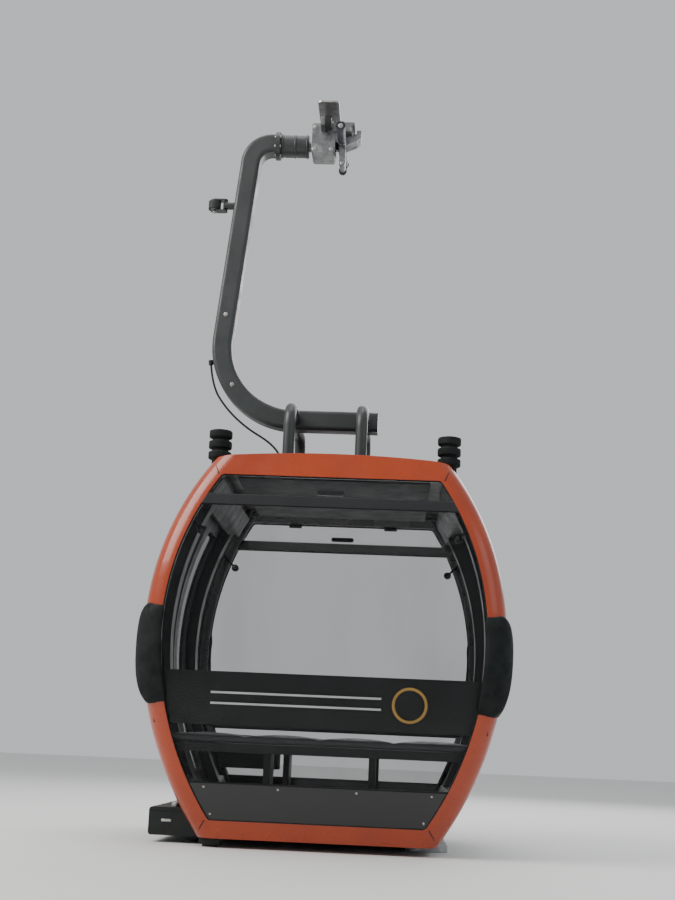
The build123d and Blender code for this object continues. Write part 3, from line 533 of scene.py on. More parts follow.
def skin(height, wall, inset=0.0):
    # Distance from the cabin's middle to its skin at a height above its bottom.
    belt, low, high = shell[wall]
    below = height < shell["belt"]
    bulge = belt - (low if below else high)
    rise = shell["belt"] if below else shell["height"] - shell["belt"]
    radius = (bulge**2 + rise**2) / (2 * bulge)
    return belt - radius + math.sqrt((radius - inset) ** 2 - (height - shell["belt"]) ** 2)


def only(thing):
    bpy.ops.object.select_all(action="DESELECT")
    thing.select_set(True)
    bpy.context.view_layer.objects.active = thing


def fixed(thing):
    # Puts a piece's place, turn and scale into its mesh.
    only(thing)
    bpy.ops.object.transform_apply(location=True, rotation=True, scale=True)


def applied(thing, kind, **values):
    # Gives the active piece a modifier with these values and applies it.
    change = thing.modifiers.new(kind.lower(), kind)
    for key, value in values.items():
        setattr(change, key, value)
    bpy.ops.object.modifier_apply(modifier=change.name)


def wholly(thing, *tools):
    # Uses mesh tools, each with its options, on the whole piece.
    only(thing)
    bpy.ops.object.mode_set(mode="EDIT")
    bpy.ops.mesh.select_all(action="SELECT")
    for tool, options in tools:
        tool(**options)
    bpy.ops.object.mode_set(mode="OBJECT")


def settle(thing, name, finish, body="cabin", smooth=35.0):
    # Puts a piece's place in its mesh, gives it its finish and its body.
    fixed(thing)
    thing.name = name
    thing.data.name = name
    thing.data.materials.clear()
    thing.data.materials.append(paints[finish])
    bpy.ops.object.shade_smooth_by_angle(angle=math.radians(smooth))
    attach(thing, body)
    return thing


def joined(things):
    bpy.ops.object.select_all(action="DESELECT")
    for thing in things:
        thing.select_set(True)
    bpy.context.view_layer.objects.active = things[0]
    bpy.ops.object.join()
    return bpy.context.object


def copied(thing, matrix):
    # A copy with its own mesh, moved as the matrix says.
    other = thing.copy()
    other.data = thing.data.copy()
    bpy.context.collection.objects.link(other)
    other.data.transform(matrix)
    if matrix.determinant() < 0:
        other.data.flip_normals()
    return other


def shown(name, data):
    # A new piece in the scene from a curve or a mesh.
    thing = bpy.data.objects.new(name, data)
    bpy.context.collection.objects.link(thing)
    return thing


def solidCopy(node):
    # A CAD node's mesh with its loose triangles merged, to be worked on.
    only(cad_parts[node])
    bpy.ops.object.duplicate()
    piece = bpy.context.object
    piece.parent = None
    piece.matrix_world = Matrix.Identity(4)
    wholly(
        piece, (bpy.ops.mesh.remove_doubles, {"threshold": 0.00002}),
        (bpy.ops.mesh.customdata_custom_splitnormals_clear, {}),
    )
    return piece


def bar(name, points, radius, kind="POLY", fine=2):
    # A round bar along points, as a curve.
    line = bpy.data.curves.new(name, "CURVE")
    line.dimensions = "3D"
    spline = line.splines.new(kind)
    spline.points.add(len(points) - 1)
    for point, place in zip(spline.points, points):
        point.co = (*place, 1.0)
    line.bevel_depth = radius
    line.bevel_resolution = fine
    line.use_fill_caps = True
    return shown(name, line)


def tube(name, points, radius):
    # A round bar along points, made a mesh.
    only(bar(name, points, radius))
    bpy.ops.object.convert(target="MESH")
    return bpy.context.object


cable = {
    # the route's points, along X and above the roof, as in the part
    "points": (
        (-0.884, 0.800), (-0.866, 0.655), (-0.770, 0.508), (-0.628, 0.378),
        (-0.450, 0.277), (-0.374, 0.168), (-0.362, 0.062),
    ),
    "radius": 0.007,
    "length": 0.951,
    "fine": 5,
    "steps": 24,
}


def makeCable():
    points = [(x, 0.0, shell["roof"] + z) for x, z in cable["points"]]
    thing = bar("hangerCable", points, cable["radius"], "NURBS", cable["fine"])
    spline = thing.data.splines[0]
    spline.order_u = 3
    spline.use_endpoint_u = True
    spline.resolution_u = cable["steps"]
    thing.data.materials.append(paints["cableRubber"])
    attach(thing, "cabin")
    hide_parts("hanger_cable")


makeCable()
print("stage: cable")

seats = {
    "panTop": 0.530,  # heights above the cabin's bottom
    "voxel": 0.010,
    "pressure": 5.0,
    "stiffness": 12.0,
    "bending": 1.0,
    "mass": 0.25,
    "quality": 4,
    "steps": 20,
    "evenRounds": 6,
    "seatCap": 0.013,
    "backCap": 0.010,
    "shrink": 0.003,
    "seatSeams": (-0.42, 0.0, 0.42),  # along X
    "backSeams": (-0.72, 0.72),
    "seamWidth": 0.016,
    "seamDepth": 0.009,
    "seamReach": (0.5, 2.0),  # seam widths within which the pad is held, and sinks
    "facing": (-0.6, 0.3),  # below this a face is held, above this it has seams
    "backGap": 0.012,
    "backPanel": 0.009,
    "backStart": 0.008,
    "backSide": 0.012,
    "backLow": 0.630,
    "backHigh": 0.930,
}


def cutBy(piece, place, normal):
    # Keeps what lies on the normal's side of a plane, and closes the cut.
    wholly(piece, (bpy.ops.mesh.bisect, dict(
        plane_co=place, plane_no=normal, use_fill=True, clear_inner=True, threshold=0.00001,
    )))


def sharpEdges(piece, angle=35.0):
    # The piece's sharp edges as pairs of places.
    only(piece)
    bpy.ops.object.mode_set(mode="EDIT")
    bpy.ops.mesh.select_mode(type="EDGE")
    bpy.ops.mesh.select_all(action="DESELECT")
    bpy.ops.mesh.edges_select_sharp(sharpness=math.radians(angle))
    bpy.ops.object.mode_set(mode="OBJECT")
    corners = piece.data.vertices
    sharp = [edge.vertices for edge in piece.data.edges if edge.select]
    return [[corners[index].co.copy() for index in pair] for pair in sharp]


def nearEdges(edges, spacing=0.004):
    # A tree of places along edges, to find what lies close to them.
    places = []
    for start, end in edges:
        count = max(1, int((end - start).length / spacing))
        places += [start.lerp(end, step / count) for step in range(count + 1)]
    tree = KDTree(len(places))
    for index, place in enumerate(places):
        tree.insert(place, index)
    tree.balance()
    return tree


def sunkSeams(piece, rim, seams, facing):
    # Sinks the pad along its seams, and lists the points that its rim, seams and back hold.
    held = []
    near, far = seats["seamReach"]
    back, front = seats["facing"]
    for vertex in piece.data.vertices:
        turned = vertex.normal.dot(facing)
        for seam in seams:
            away = abs(vertex.co.x - seam) / seats["seamWidth"]
            if turned > front and away < far:
                vertex.co -= facing * seats["seamDepth"] * math.exp(-away * away)
            if away < near:
                held.append(vertex.index)
        if turned < back or rim.find(vertex.co)[2] < seats["voxel"]:
            held.append(vertex.index)
    return held


def inflate(piece, held, cap):
    # Blows the pad up as cloth, with no point moved further than the cap.
    group = piece.vertex_groups.new(name="held")
    group.add(held, 1.0, "REPLACE")
    before = [vertex.co.copy() for vertex in piece.data.vertices]
    cloth = piece.modifiers.new("cloth", "CLOTH")
    cloth.settings.quality = seats["quality"]
    cloth.settings.mass = seats["mass"]
    cloth.settings.tension_stiffness = seats["stiffness"]
    cloth.settings.compression_stiffness = seats["stiffness"]
    cloth.settings.bending_stiffness = seats["bending"]
    cloth.settings.use_pressure = True
    cloth.settings.uniform_pressure_force = seats["pressure"]
    cloth.settings.vertex_group_mass = group.name
    cloth.settings.effector_weights.gravity = 0.0
    cloth.point_cache.frame_start = 1
    cloth.point_cache.frame_end = seats["steps"]
    for step in range(1, seats["steps"] + 1):
        bpy.context.scene.frame_set(step)
    bpy.ops.object.modifier_apply(modifier=cloth.name)
    bpy.context.scene.frame_set(1)
    for vertex, start in zip(piece.data.vertices, before):
        move = vertex.co - start
        if move.length > cap:
            vertex.co = start + move * (cap / move.length)
    piece.vertex_groups.clear()


def swell(piece, seams, facing, cap):
    # Turns a plain pad into a sewn and padded one.
    rim = nearEdges(sharpEdges(piece))
    wholly(piece, (bpy.ops.transform.shrink_fatten, {"value": -seats["shrink"]}))
    applied(piece, "REMESH", mode="VOXEL", voxel_size=seats["voxel"])
    held = sunkSeams(piece, rim, seams, Vector(facing))
    inflate(piece, held, cap)
    applied(piece, "SMOOTH", iterations=seats["evenRounds"], factor=0.5)
    applied(piece, "SUBSURF", levels=1, render_levels=1)


def makeBenches():
    top = Vector((0, 0, shell["bottom"] + seats["panTop"]))
    pan = solidCopy("bench_front")
    cutBy(pan, top, (0, 0, -1))
    cushion = solidCopy("bench_front")
    cutBy(cushion, top, (0, 0, 1))
    swell(cushion, seats["seatSeams"], (0, 0, 1), seats["seatCap"])
    for end, turn in ends.items():
        frameless = copied(pan, turn)
        settle(frameless, f"benchPan_{end}", "benchPlastic")
        pad = copied(cushion, turn)
        settle(pad, f"benchCushion_{end}", "seatVinyl", smooth=80.0)
        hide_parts(f"bench_{end}")
    bpy.data.objects.remove(pan)
    bpy.data.objects.remove(cushion)


def curvedSheet(spanX, spanZ, inset, thickness, cells=(24, 12)):
    # A thin sheet that follows the front wall's curve, by its heights above the bottom.
    width, height = spanX[1] - spanX[0], spanZ[1] - spanZ[0]
    bpy.ops.mesh.primitive_grid_add(x_subdivisions=cells[0], y_subdivisions=cells[1], size=1.0)
    sheet = bpy.context.object
    for vertex in sheet.data.vertices:
        rise = spanZ[0] + (vertex.co.y + 0.5) * height
        across = spanX[0] + (vertex.co.x + 0.5) * width
        vertex.co = (across, -skin(rise, "end", inset), shell["bottom"] + rise)
    only(sheet)
    applied(sheet, "SOLIDIFY", thickness=thickness, offset=-1.0)
    return sheet


def makeBackrests():
    pad = solidCopy("backrests")
    cutBy(pad, (0, 0, 0), (0, -1, 0))
    slope = seats["backGap"] + seats["backPanel"] + shell["glassInset"] + seats["backStart"]
    for vertex in pad.data.vertices:
        # the pad's back face moves off the rigid panel behind it
        rise = vertex.co.z - shell["bottom"]
        if vertex.co.y < -skin(min(max(rise, 0.0), shell["height"]), "end", slope):
            vertex.co.y = -skin(rise, "end", slope)
    swell(pad, seats["backSeams"], (0, 1, 0), seats["backCap"])
    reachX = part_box("backrests")[1].x - seats["backSide"]
    panel = curvedSheet(
        (-reachX, reachX), (seats["backLow"], seats["backHigh"]),
        shell["glassInset"] + seats["backStart"] + seats["backGap"], seats["backPanel"],
    )
    for end, turn in ends.items():
        soft = copied(pad, turn)
        settle(soft, f"backCushion_{end}", "seatVinyl", smooth=80.0)
        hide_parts("backrests")
        back = copied(panel, turn)
        settle(back, f"backPanel_{end}", "benchPlastic")
    bpy.data.objects.remove(pad)
    bpy.data.objects.remove(panel)


pads = {
    "low": 0.73,
    "high": 1.305,
    "endShare": 0.30,  # how much of its thickness a pad keeps at its ends
    "voxel": 0.009,
    "evenRounds": 24,
}
buffers = {
    "voxel": 0.006,
    "evenRounds": 6,
}


def thinned(piece):
    # Brings the pads' outer faces closer to the hoops towards their upper and lower ends.
    middle, half = (pads["high"] + pads["low"]) / 2, (pads["high"] - pads["low"]) / 2
    corner = shell["corner"]
    for vertex in piece.data.vertices:
        rise = vertex.co.z - shell["bottom"]
        share = 1.0 - (1.0 - pads["endShare"]) * min(1.0, abs(rise - middle) / half) ** 3
        center = [skin(rise, wall) - corner for wall in ("side", "end")]
        away = [max(0.0, abs(part) - start) for part, start in zip(vertex.co.xy, center)]
        length = math.hypot(*away)
        if length > corner:
            scale = (corner + (length - corner) * share) / length
            for axis in (0, 1):
                if away[axis]:
                    reach = center[axis] + away[axis] * scale
                    vertex.co[axis] = math.copysign(reach, vertex.co[axis])


def moulded(node, name, values, shape=None):
    # A copy of a rubber CAD piece with the soft corners of a moulding.
    piece = solidCopy(node)
    applied(piece, "REMESH", mode="VOXEL", voxel_size=values["voxel"])
    if shape:
        shape(piece)
    applied(piece, "SMOOTH", iterations=values["evenRounds"], factor=0.5)
    settle(piece, name, "padRubber", "cabin", 80.0)
    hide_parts(node)


makeBenches()
makeBackrests()
moulded("corner_pads", "cornerPadsRubber", pads, thinned)
moulded("roof_buffers", "roofBuffersRubber", buffers)
print("stage: seats, backrests and rubber pads")

seals = {
    "paneRadius": 0.0065,
    "onSkin": 0.0015,
    "sharp": 30.0,
    "panes": (
        # node, wall, body
        ("end_glass_front", "end", "cabin"),
        ("end_glass_rear", "end", "cabin"),
        ("vent_glass", "end", "cabin"),
        ("end_panels", "end", "cabin"),
        ("side_glass", "side", "cabin"),
        ("door_side_glass", "side", "cabin"),
        ("door_leaf_glass_front", "side", "leaf_front"),
        ("door_leaf_glass_rear", "side", "leaf_rear"),
    ),
    "hoopRadius": 0.004,
    "hoopInset": 0.001,
    "hoopWrap": 0.1502,
    "hoopHeights": (0.065, 2.14),
    "leafRadius": 0.0067,
    "leafHeights": (0.205, 1.965),
    "leafStations": (0.0068, 0.445),
    "leafInset": 0.020,
    "leafFoot": (0.0048, 0.1953),  # radius and height of the seal over the sill
    "footStations": (0.010, 0.436),
    "steps": 28,
}


def sealRound(node, wall, body):
    # A rubber seal along the outer rim of a pane.
    pane = solidCopy(node)
    axis = 1 if wall == "end" else 0

    def onSkin(place):
        reach = skin(place.z - shell["bottom"], wall, shell["glassInset"])
        return abs(abs(place[axis]) - reach) < seals["onSkin"]

    edges = [edge for edge in sharpEdges(pane, seals["sharp"]) if all(map(onSkin, edge))]
    bpy.data.objects.remove(pane)
    name = "seal" + node.title().replace("_", "")
    line = bpy.data.meshes.new(name)
    places = [place for edge in edges for place in edge]
    line.from_pydata(places, [(2 * index, 2 * index + 1) for index in range(len(edges))], [])
    thing = shown(name, line)
    wholly(thing, (bpy.ops.mesh.remove_doubles, {"threshold": 0.0001}))
    bpy.ops.object.convert(target="CURVE")
    thing = bpy.context.object
    thing.data.bevel_depth = seals["paneRadius"]
    thing.data.bevel_resolution = 2
    thing.data.use_fill_caps = True
    bpy.ops.object.convert(target="MESH")
    settle(bpy.context.object, name, "sealRubber", body, 60.0)


def heightsBetween(low, high, count):
    return [low + (high - low) * step / count for step in range(count + 1)]


def makeHoopStrips():
    strips = []
    for side in (-1, 1):
        for end in (-1, 1):
            points = []
            for rise in heightsBetween(*seals["hoopHeights"], seals["steps"]):
                across = skin(rise, "side") - seals["hoopInset"]
                along = skin(rise, "end") - seals["hoopWrap"]
                points.append((side * across, end * along, shell["bottom"] + rise))
            strips.append(tube("strip", points, seals["hoopRadius"]))
    settle(joined(strips), "hoopStrips", "sealRubber", "cabin", 60.0)


def makeLeafSeals(end, name):
    strips = []
    for station in seals["leafStations"]:
        points = [
            (-skin(rise, "side", seals["leafInset"]), end * station, shell["bottom"] + rise)
            for rise in heightsBetween(*seals["leafHeights"], seals["steps"])
        ]
        strips.append(tube("strip", points, seals["leafRadius"]))
    radius, rise = seals["leafFoot"]
    across = -skin(rise, "side", seals["leafInset"])
    foot = [(across, end * station, shell["bottom"] + rise) for station in seals["footStations"]]
    strips.append(tube("strip", foot, radius))
    settle(joined(strips), f"leafSeals_{name}", "sealRubber", f"leaf_{name}", 60.0)


for row in seals["panes"]:
    sealRound(*row)
makeHoopStrips()
makeLeafSeals(-1, "front")
makeLeafSeals(1, "rear")
print("stage: seals")


def peg(place, direction, radius, length, sides):
    # A round or many-sided peg that stands on a place.
    turn = Vector(direction).to_track_quat("Z", "Y")
    middle = Vector(place) + turn @ Vector((0, 0, length / 2))
    bpy.ops.object.select_all(action="DESELECT")
    bpy.ops.mesh.primitive_cylinder_add(
        radius=radius, depth=length, vertices=sides, location=middle, rotation=turn.to_euler()
    )
    return bpy.context.object


def block(low, high):
    low, high = Vector(low), Vector(high)
    bpy.ops.object.select_all(action="DESELECT")
    bpy.ops.mesh.primitive_cube_add(size=1.0, location=(low + high) / 2, scale=high - low)
    return bpy.context.object


def ring(place, direction, radius, thickness, flat=1.0):
    # A ring about a direction, flattened along it.
    turn = Vector(direction).to_track_quat("Z", "Y")
    bpy.ops.object.select_all(action="DESELECT")
    bpy.ops.mesh.primitive_torus_add(
        location=place, rotation=turn.to_euler(), major_radius=radius, minor_radius=thickness,
        major_segments=48, minor_segments=10,
    )
    bpy.context.object.scale = (1.0, 1.0, flat)
    return bpy.context.object


def softened(thing, width, segments=2):
    fixed(thing)
    applied(thing, "BEVEL", width=width, segments=segments, limit_method="ANGLE")
    return thing


boltShape = {
    "washer": (1.3, 0.18),  # radius and height, as shares of the head's radius
    "headHeight": 0.8,
    "headEdge": 0.1,
    "sunk": 0.001,  # how far the washer reaches into its seat
}


def bolts(name, spots, radius, body="cabin"):
    # Hexagon heads on washers, one at each place, facing its direction.
    wide, high = boltShape["washer"]
    sunk = boltShape["sunk"]
    washer = peg((0, 0, -sunk), (0, 0, 1), wide * radius, sunk + high * radius, 20)
    head = peg((0, 0, 0), (0, 0, 1), radius, boltShape["headHeight"] * radius, 6)
    pattern = joined([washer, softened(head, boltShape["headEdge"] * radius, 1)])
    fixed(pattern)
    heads = []
    for place, direction in spots:
        turn = Vector(direction).to_track_quat("Z", "Y").to_matrix().to_4x4()
        heads.append(copied(pattern, Matrix.Translation(place) @ turn))
    bpy.data.objects.remove(pattern)
    return settle(joined(heads), name, "zincSteel", body, 30.0)


def circle(count, radius, turn=0.5):
    # Offsets evenly spread around a circle.
    steps = [2 * math.pi * (step + turn) / count for step in range(count)]
    return [(radius * math.cos(angle), radius * math.sin(angle)) for angle in steps]


hanger = {
    "headZ": -0.09,
    "flanges": ((-0.525, -1), (-0.495, 1)),  # faces of the flanged joint along X
    "flangeBolts": (8, 0.0845, 0.0085),  # how many, radius of their circle, size
    "feetX": (-0.30, 0.15),
    "feetY": 0.45,
    "footTop": -2.3703,
    "footBolts": (0.043, 0.056, 0.009),  # steps along X and Y, size
    "hoopRadius": 0.0375,
    "beamZ": -2.02,
    "armFaceY": 0.07,
    "armBolts": ((-0.796, -1.32), (-0.727, -1.80)),
    "armBolt": 0.011,
    "bead": 0.0055,
    "headRings": (-0.312, -0.392, -0.478),
    "headRadius": 0.075,
    "headRingWidth": 1.4,
}
guide = {
    "place": (-0.925, 0.0, -0.53),
    "forkHalf": 0.043,
    "rollerHalf": 0.028,
    "nut": 0.012,
    "hub": (0.018, 0.009, 0.25),  # ring radius, thickness and flatness
}
grip = {
    "bodyY": 0.095,
    "bodyBolts": ((-0.258, 0.014), (-0.258, -0.146), (-0.142, -0.146), (-0.140, 0.014)),
    "bolt": 0.0125,
    "capY": 0.3036,
    "pivot": (-0.075, -0.078),
    "rollerY": 0.172,
    "rollerZ": 0.008,
    "rollerFaces": (-0.185, -0.147),
    "pinEnd": -0.144,
    "hub": (0.024, 0.0105, 0.2),  # ring radius, thickness and flatness
    "rim": (0.0445, 0.0025),
    "hubScrews": (5, 0.0275, 0.0034),  # how many, radius of their circle, size
    "hubScrewLift": 0.001,
}
lever = {
    "end": (-0.07, -0.225),
    "face": 0.058,
    "roller": (0.027, 0.030),  # radius and width
    "rollerEdge": 0.003,
    "bolt": 0.011,
}


def makeHangerFittings():
    count, radius, size = hanger["flangeBolts"]
    spots = [
        ((x, y, hanger["headZ"] + z), (side, 0, 0))
        for x, side in hanger["flanges"] for y, z in circle(count, radius)
    ]
    bolts("flangeBolts", spots, size)
    spots, beads = [], []
    stepX, stepY, size = hanger["footBolts"]
    hoop, bead = hanger["hoopRadius"], hanger["bead"]
    for x in hanger["feetX"]:
        for side in (-1, 1):
            y = side * hanger["feetY"]
            for across in (-stepX, stepX):
                for along in (-stepY, stepY):
                    spots.append(((x + across, y + along, hanger["footTop"]), (0, 0, 1)))
            beads.append(ring((x, y, hanger["footTop"]), (0, 0, 1), hoop, bead))
            beads.append(ring((x, side * hanger["armFaceY"], hanger["beamZ"]), (0, 1, 0), hoop, bead))
    bolts("footBolts", spots, size)
    for x in hanger["headRings"]:
        place = (x, 0, hanger["headZ"])
        beads.append(ring(place, (1, 0, 0), hanger["headRadius"], bead, hanger["headRingWidth"]))
    settle(joined(beads), "hangerBeads", "hangerPaint", "cabin", 60.0)
    spots = []
    for x, z in hanger["armBolts"]:
        spots += [((x, side * hanger["armFaceY"], z), (0, side, 0)) for side in (-1, 1)]
    bolts("armBolts", spots, hanger["armBolt"])


def makeGuideFittings():
    x, y, z = guide["place"]
    spots = [((x, y, z + side * guide["forkHalf"]), (0, 0, side)) for side in (-1, 1)]
    bolts("guideNuts", spots, guide["nut"])
    hubs = [ring((x, y, z + side * guide["rollerHalf"]), (0, 0, 1), *guide["hub"]) for side in (-1, 1)]
    settle(joined(hubs), "guideHub", "zincSteel", "guide_wheel", 60.0)


def makeGripBolts():
    spots = []
    for side in (-1, 1):
        spots += [((x, side * grip["bodyY"], z), (0, side, 0)) for x, z in grip["bodyBolts"]]
        spots.append(((grip["pivot"][0], side * grip["capY"], grip["pivot"][1]), (0, side, 0)))
        spots.append(((grip["pinEnd"], side * grip["rollerY"], grip["rollerZ"]), (1, 0, 0)))
    bolts("gripBolts", spots, grip["bolt"], "grip")


def makeRollerFittings(side, end):
    y, z = side * grip["rollerY"], grip["rollerZ"]
    body = f"roller_{end}"
    hubs = [ring((x, y, z), (1, 0, 0), *grip["hub"]) for x in grip["rollerFaces"]]
    rims = [ring((x, y, z), (1, 0, 0), *grip["rim"]) for x in grip["rollerFaces"]]
    settle(joined(hubs), f"rollerHub_{end}", "zincSteel", body, 60.0)
    settle(joined(rims), f"rollerRim_{end}", "rollerRubber", body, 60.0)
    count, radius, size = grip["hubScrews"]
    face = grip["rollerFaces"][1] + grip["hubScrewLift"]
    spots = [((face, y + across, z + up), (1, 0, 0)) for across, up in circle(count, radius)]
    bolts(f"rollerScrews_{end}", spots, size, body)


def makeLeverFittings():
    (x, z), face = lever["end"], lever["face"]
    radius, width = lever["roller"]
    wheel = softened(peg((x, face, z), (0, 1, 0), radius, width, 40), lever["rollerEdge"])
    settle(wheel, "leverRoller", "rollerRubber", "jaw")
    spots = [((x, face + width, z), (0, 1, 0)), ((x, -face, z), (0, -1, 0))]
    bolts("leverBolts", spots, lever["bolt"], "jaw")


makeHangerFittings()
makeGuideFittings()
makeGripBolts()
makeRollerFittings(-1, "front")
makeRollerFittings(1, "rear")
makeLeverFittings()
print("stage: fittings on the hanger and the grip")


def onEnd(across, rise, inset=0.0):
    # A place on the front end's skin, also where the upright corner turns.
    corner = shell["corner"]
    straight = skin(rise, "side") - corner
    along = skin(rise, "end", inset)
    if abs(across) > straight:
        turned = min(abs(across) - straight, corner)
        along -= corner - math.sqrt(corner**2 - turned**2)
    return (across, -along, shell["bottom"] + rise)


def bothEnds(thing, name, finish, smooth=35.0):
    # The piece at the front and its mirror image at the rear, as one piece.
    fixed(thing)
    settle(joined([thing, copied(thing, flip)]), name, finish, "cabin", smooth)


shoe = {
    "place": (0.632, 0.28, -4.666),
    "bolts": (4, 0.045, 0.0075),  # how many, radius of their circle, size
}
driveBox = {
    "top": -4.50,
    "front": -0.99,
    "half": 0.62,
    "screwX": -0.966,
    "screwYs": (-0.58, -0.30, 0.0, 0.30, 0.58),
    "screw": 0.0055,
    "seam": -4.522,
    "seamInner": -0.772,
    "seamRadius": 0.002,
    "latch": ((-0.916, -0.625, -4.583), (-0.856, -0.618, -4.567)),
    "latchEdge": 0.003,
}
roofTrim = {
    "railHeight": 2.088,
    "railRadius": 0.009,
    "railHalf": 0.715,
    "railOut": 0.004,
    "jointRadius": 0.0045,
    "jointSteps": 24,
    "crown": 0.035,
}
hinges = {
    "middles": (-0.34, 0.34),
    "height": 2.072,
    "inset": 0.006,
    "half": 0.045,
    "radius": 0.008,
}
screws = {
    "spots": ((0.60, 0.135), (0.64, 0.285), (0.22, 0.285)),  # from the middle, above the bottom
    "facing": (0, -1, -0.15),
    "size": 0.0055,
}
mitre = {
    "radius": 0.0026,
    "heights": ((0.1, 0.012), (2.085, 2.188)),  # at the hoop's inner and outer corners
    "hoopWidth": 0.115,
    "outerInset": 0.006,
    "steps": 10,
}
bracket = {
    "block": ((-0.665, -0.80, -4.684), (-0.545, -0.70, -4.6503)),
    "edge": 0.006,
    "wheelStart": (0.02, 0.022, 0.003),
    "wheel": (0.018, 0.08),  # radius and length
}
tread = {
    "insets": (0.048, 0.095),  # from the skin
    "rise": 0.19,
    "half": 0.436,
    "faces": (-0.001, 0.003),
    "ribFaces": (0.002, 0.0045),
    "ribHalf": 0.002,
    "ribInset": (0.008, 0.01),  # from the plate's long edges and its ends
    "ribGaps": 3,
}
trim = {
    "inset": 0.0092,
    "thickness": 0.0008,
    "ring": (0.50, 0.78, 0.100, 0.084),  # middle across, height, outer and inner radius
    "ringSteps": 72,
    "stripes": ((-0.62, 0.34, 0.805, 0.817), (-0.62, 0.34, 0.745, 0.757)),  # ends across, then heights
}


def makeShoeBolts():
    x, y, z = shoe["place"]
    count, radius, size = shoe["bolts"]
    spots = [
        ((x + across, side * y + along, z), (0, 0, 1))
        for side in (-1, 1) for across, along in circle(count, radius)
    ]
    bolts("shoeBolts", spots, size)


def makeDriveBox():
    spots = [((driveBox["screwX"], y, driveBox["top"]), (0, 0, 1)) for y in driveBox["screwYs"]]
    bolts("boxScrews", spots, driveBox["screw"])
    front, half, inner = driveBox["front"], driveBox["half"], driveBox["seamInner"]
    corners = ((inner, -half), (front, -half), (front, half), (inner, half))
    seam = tube("seam", [(x, y, driveBox["seam"]) for x, y in corners], driveBox["seamRadius"])
    settle(seam, "boxSeam", "sealRubber")
    latch = softened(block(*driveBox["latch"]), driveBox["latchEdge"])
    settle(latch, "boxLatch", "zincSteel")


def makeRoofTrim():
    rails = []
    edge = skin(roofTrim["railHeight"], "side") + roofTrim["railOut"]
    half, level = roofTrim["railHalf"], shell["bottom"] + roofTrim["railHeight"]
    for side in (-1, 1):
        points = [(side * edge, along, level) for along in (-half, half)]
        rails.append(tube("rail", points, roofTrim["railRadius"]))
    settle(joined(rails), "dripRails", "sealRubber", "cabin", 60.0)
    top, crown = shell["side"][2], roofTrim["crown"]
    radius = (top**2 + crown**2) / (2 * crown)
    along = seals["hoopWrap"] - skin(shell["height"], "end")
    points = []
    for across in heightsBetween(-top, top, roofTrim["jointSteps"]):
        rise = shell["height"] + math.sqrt(radius**2 - across**2) - (radius - crown)
        points.append((across, along, shell["bottom"] + rise))
    joint = tube("joint", points, roofTrim["jointRadius"])
    bothEnds(joint, "roofJoints", "sealRubber", 60.0)


def makeEndFittings():
    pins = []
    for x in hinges["middles"]:
        place = onEnd(x - hinges["half"], hinges["height"], hinges["inset"])
        pins.append(peg(place, (1, 0, 0), hinges["radius"], 2 * hinges["half"], 20))
    bothEnds(joined(pins), "ventHinges", "blackFrame")
    spots = [
        (onEnd(side * across, rise, shell["glassInset"]), screws["facing"])
        for across, rise in screws["spots"] for side in (-1, 1)
    ]
    heads = bolts("panelScrewsFront", spots, screws["size"])
    bothEnds(heads, "panelScrews", "zincSteel", 30.0)


def makeHoopSeams():
    seams = []
    for side in (-1, 1):
        for low, high in mitre["heights"]:
            start = skin(low, "side") - mitre["hoopWidth"]
            end = skin(high, "side") - mitre["outerInset"]
            points = [
                onEnd(side * (start + (end - start) * step), low + (high - low) * step)
                for step in heightsBetween(0.0, 1.0, mitre["steps"])
            ]
            seams.append(tube("seam", points, mitre["radius"]))
    bothEnds(joined(seams), "hoopSeams", "sealRubber", 60.0)


def makeCornerBrackets():
    body = softened(block(*bracket["block"]), bracket["edge"])
    place = [low + step for low, step in zip(bracket["block"][0], bracket["wheelStart"])]
    wheel = peg(place, (1, 0, 0), *bracket["wheel"], 28)
    bothEnds(joined([body, wheel]), "cornerBrackets", "boxPlastic")


def makeDoorTread():
    outer, inner = (inset - skin(tread["rise"], "side") for inset in tread["insets"])
    level, half = shell["bottom"] + tread["rise"], tread["half"]
    low, high = (level + face for face in tread["faces"])
    parts = [block((outer, -half, low), (inner, half, high))]
    low, high = (level + face for face in tread["ribFaces"])
    edge, gap = tread["ribInset"]
    for x in heightsBetween(outer + edge, inner - edge, tread["ribGaps"]):
        parts.append(block(
            (x - tread["ribHalf"], gap - half, low), (x + tread["ribHalf"], half - gap, high),
        ))
    settle(joined(parts), "doorTread", "frameMetal")


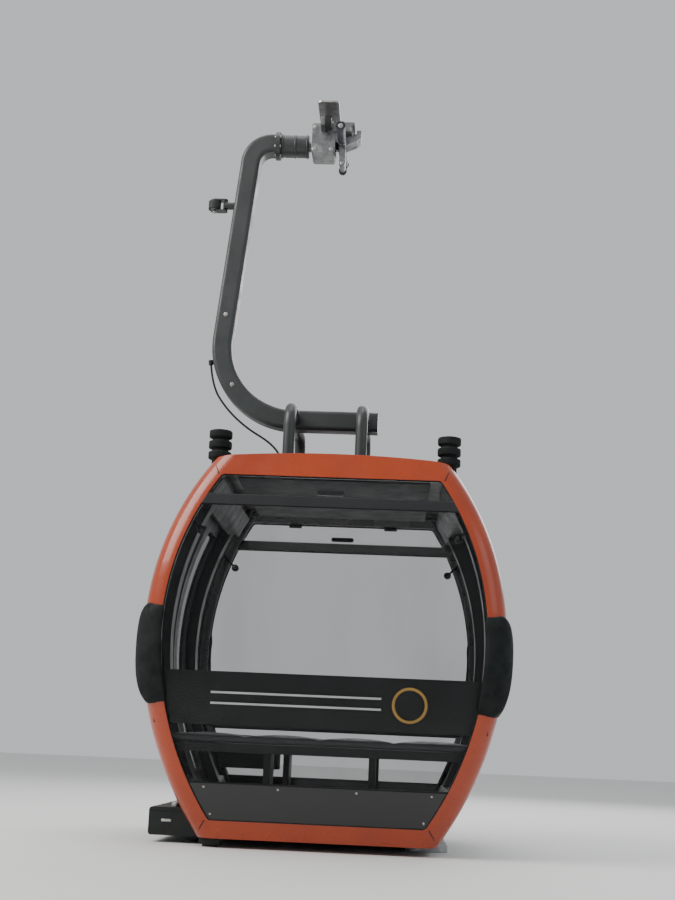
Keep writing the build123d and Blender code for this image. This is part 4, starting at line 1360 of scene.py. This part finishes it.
def makeTrim():
    # Plain trim on the end glass: a bare ring and two bare stripes.
    middle, height, outer, inner = trim["ring"]
    count = trim["ringSteps"]
    places = []
    for radius, inset in ((inner, 0.0), (outer, 0.0), (outer, 1.0), (inner, 1.0)):
        depth = trim["inset"] + inset * trim["thickness"]
        places += [onEnd(middle + across, height + up, depth) for across, up in circle(count, radius)]
    faces = [
        (row * count + step, (row + 1) % 4 * count + step,
         (row + 1) % 4 * count + (step + 1) % count, row * count + (step + 1) % count)
        for row in range(4) for step in range(count)
    ]
    mesh = bpy.data.meshes.new("ring")
    mesh.from_pydata(places, [], faces)
    band = shown("ring", mesh)
    wholly(band, (bpy.ops.mesh.normals_make_consistent, {"inside": False}))
    bothEnds(band, "goldRings", "goldTrim")
    stripes = [
        curvedSheet((start, end), (low, high), trim["inset"], trim["thickness"], (2, 2))
        for start, end, low, high in trim["stripes"]
    ]
    bothEnds(joined(stripes), "paleStripes", "paleTrim")


ceiling = {
    "lining": ((-0.58, -0.66, -2.545), (0.58, 0.66, -2.535)),
    "liningEdge": 0.004,
    "lamp": ((-0.30, -0.03, -2.553), (0.30, 0.03, -2.544)),
    "lampEdge": 0.003,
    "spacers": ((-0.45, -0.5), (-0.45, 0.5), (0.45, -0.5), (0.45, 0.5)),
    "spacerRadius": 0.012,
    "spacerSunk": 0.002,
    "spacerTop": -2.475,
}
feet = {
    "place": (0.30, -0.68, -4.56),
    "half": (0.055, 0.13),
    "thickness": 0.006,
    "edge": 0.002,
    "boltSteps": (0.038, 0.09),
    "bolt": 0.008,
}


def makeCeiling():
    parts = [softened(block(*ceiling["lining"]), ceiling["liningEdge"])]
    start = ceiling["lining"][1][2] - ceiling["spacerSunk"]
    for x, y in ceiling["spacers"]:
        length = ceiling["spacerTop"] - start
        parts.append(peg((x, y, start), (0, 0, 1), ceiling["spacerRadius"], length, 16))
    settle(joined(parts), "ceilingLining", "liningPanel")
    lamp = softened(block(*ceiling["lamp"]), ceiling["lampEdge"])
    settle(lamp, "ceilingLamp", "paleTrim")


def makeBenchFeet():
    plates, spots = [], []
    (halfX, halfY), (stepX, stepY) = feet["half"], feet["boltSteps"]
    middle, y, z = feet["place"]
    top = z + feet["thickness"]
    for x in (-middle, middle):
        plate = block((x - halfX, y - halfY, z), (x + halfX, y + halfY, top))
        plates.append(softened(plate, feet["edge"]))
        for along in (-stepY, stepY):
            spots += [((x + across, y + along, top), (0, 0, 1)) for across in (-stepX, stepX)]
    bothEnds(joined(plates), "benchFeet", "benchPlastic")
    heads = bolts("feetBoltsFront", spots, feet["bolt"])
    bothEnds(heads, "benchFeetBolts", "zincSteel", 30.0)


makeShoeBolts()
makeDriveBox()
makeRoofTrim()
makeEndFittings()
makeHoopSeams()
makeCornerBrackets()
makeDoorTread()
makeTrim()
makeCeiling()
makeBenchFeet()
print("stage: fittings outside and inside")
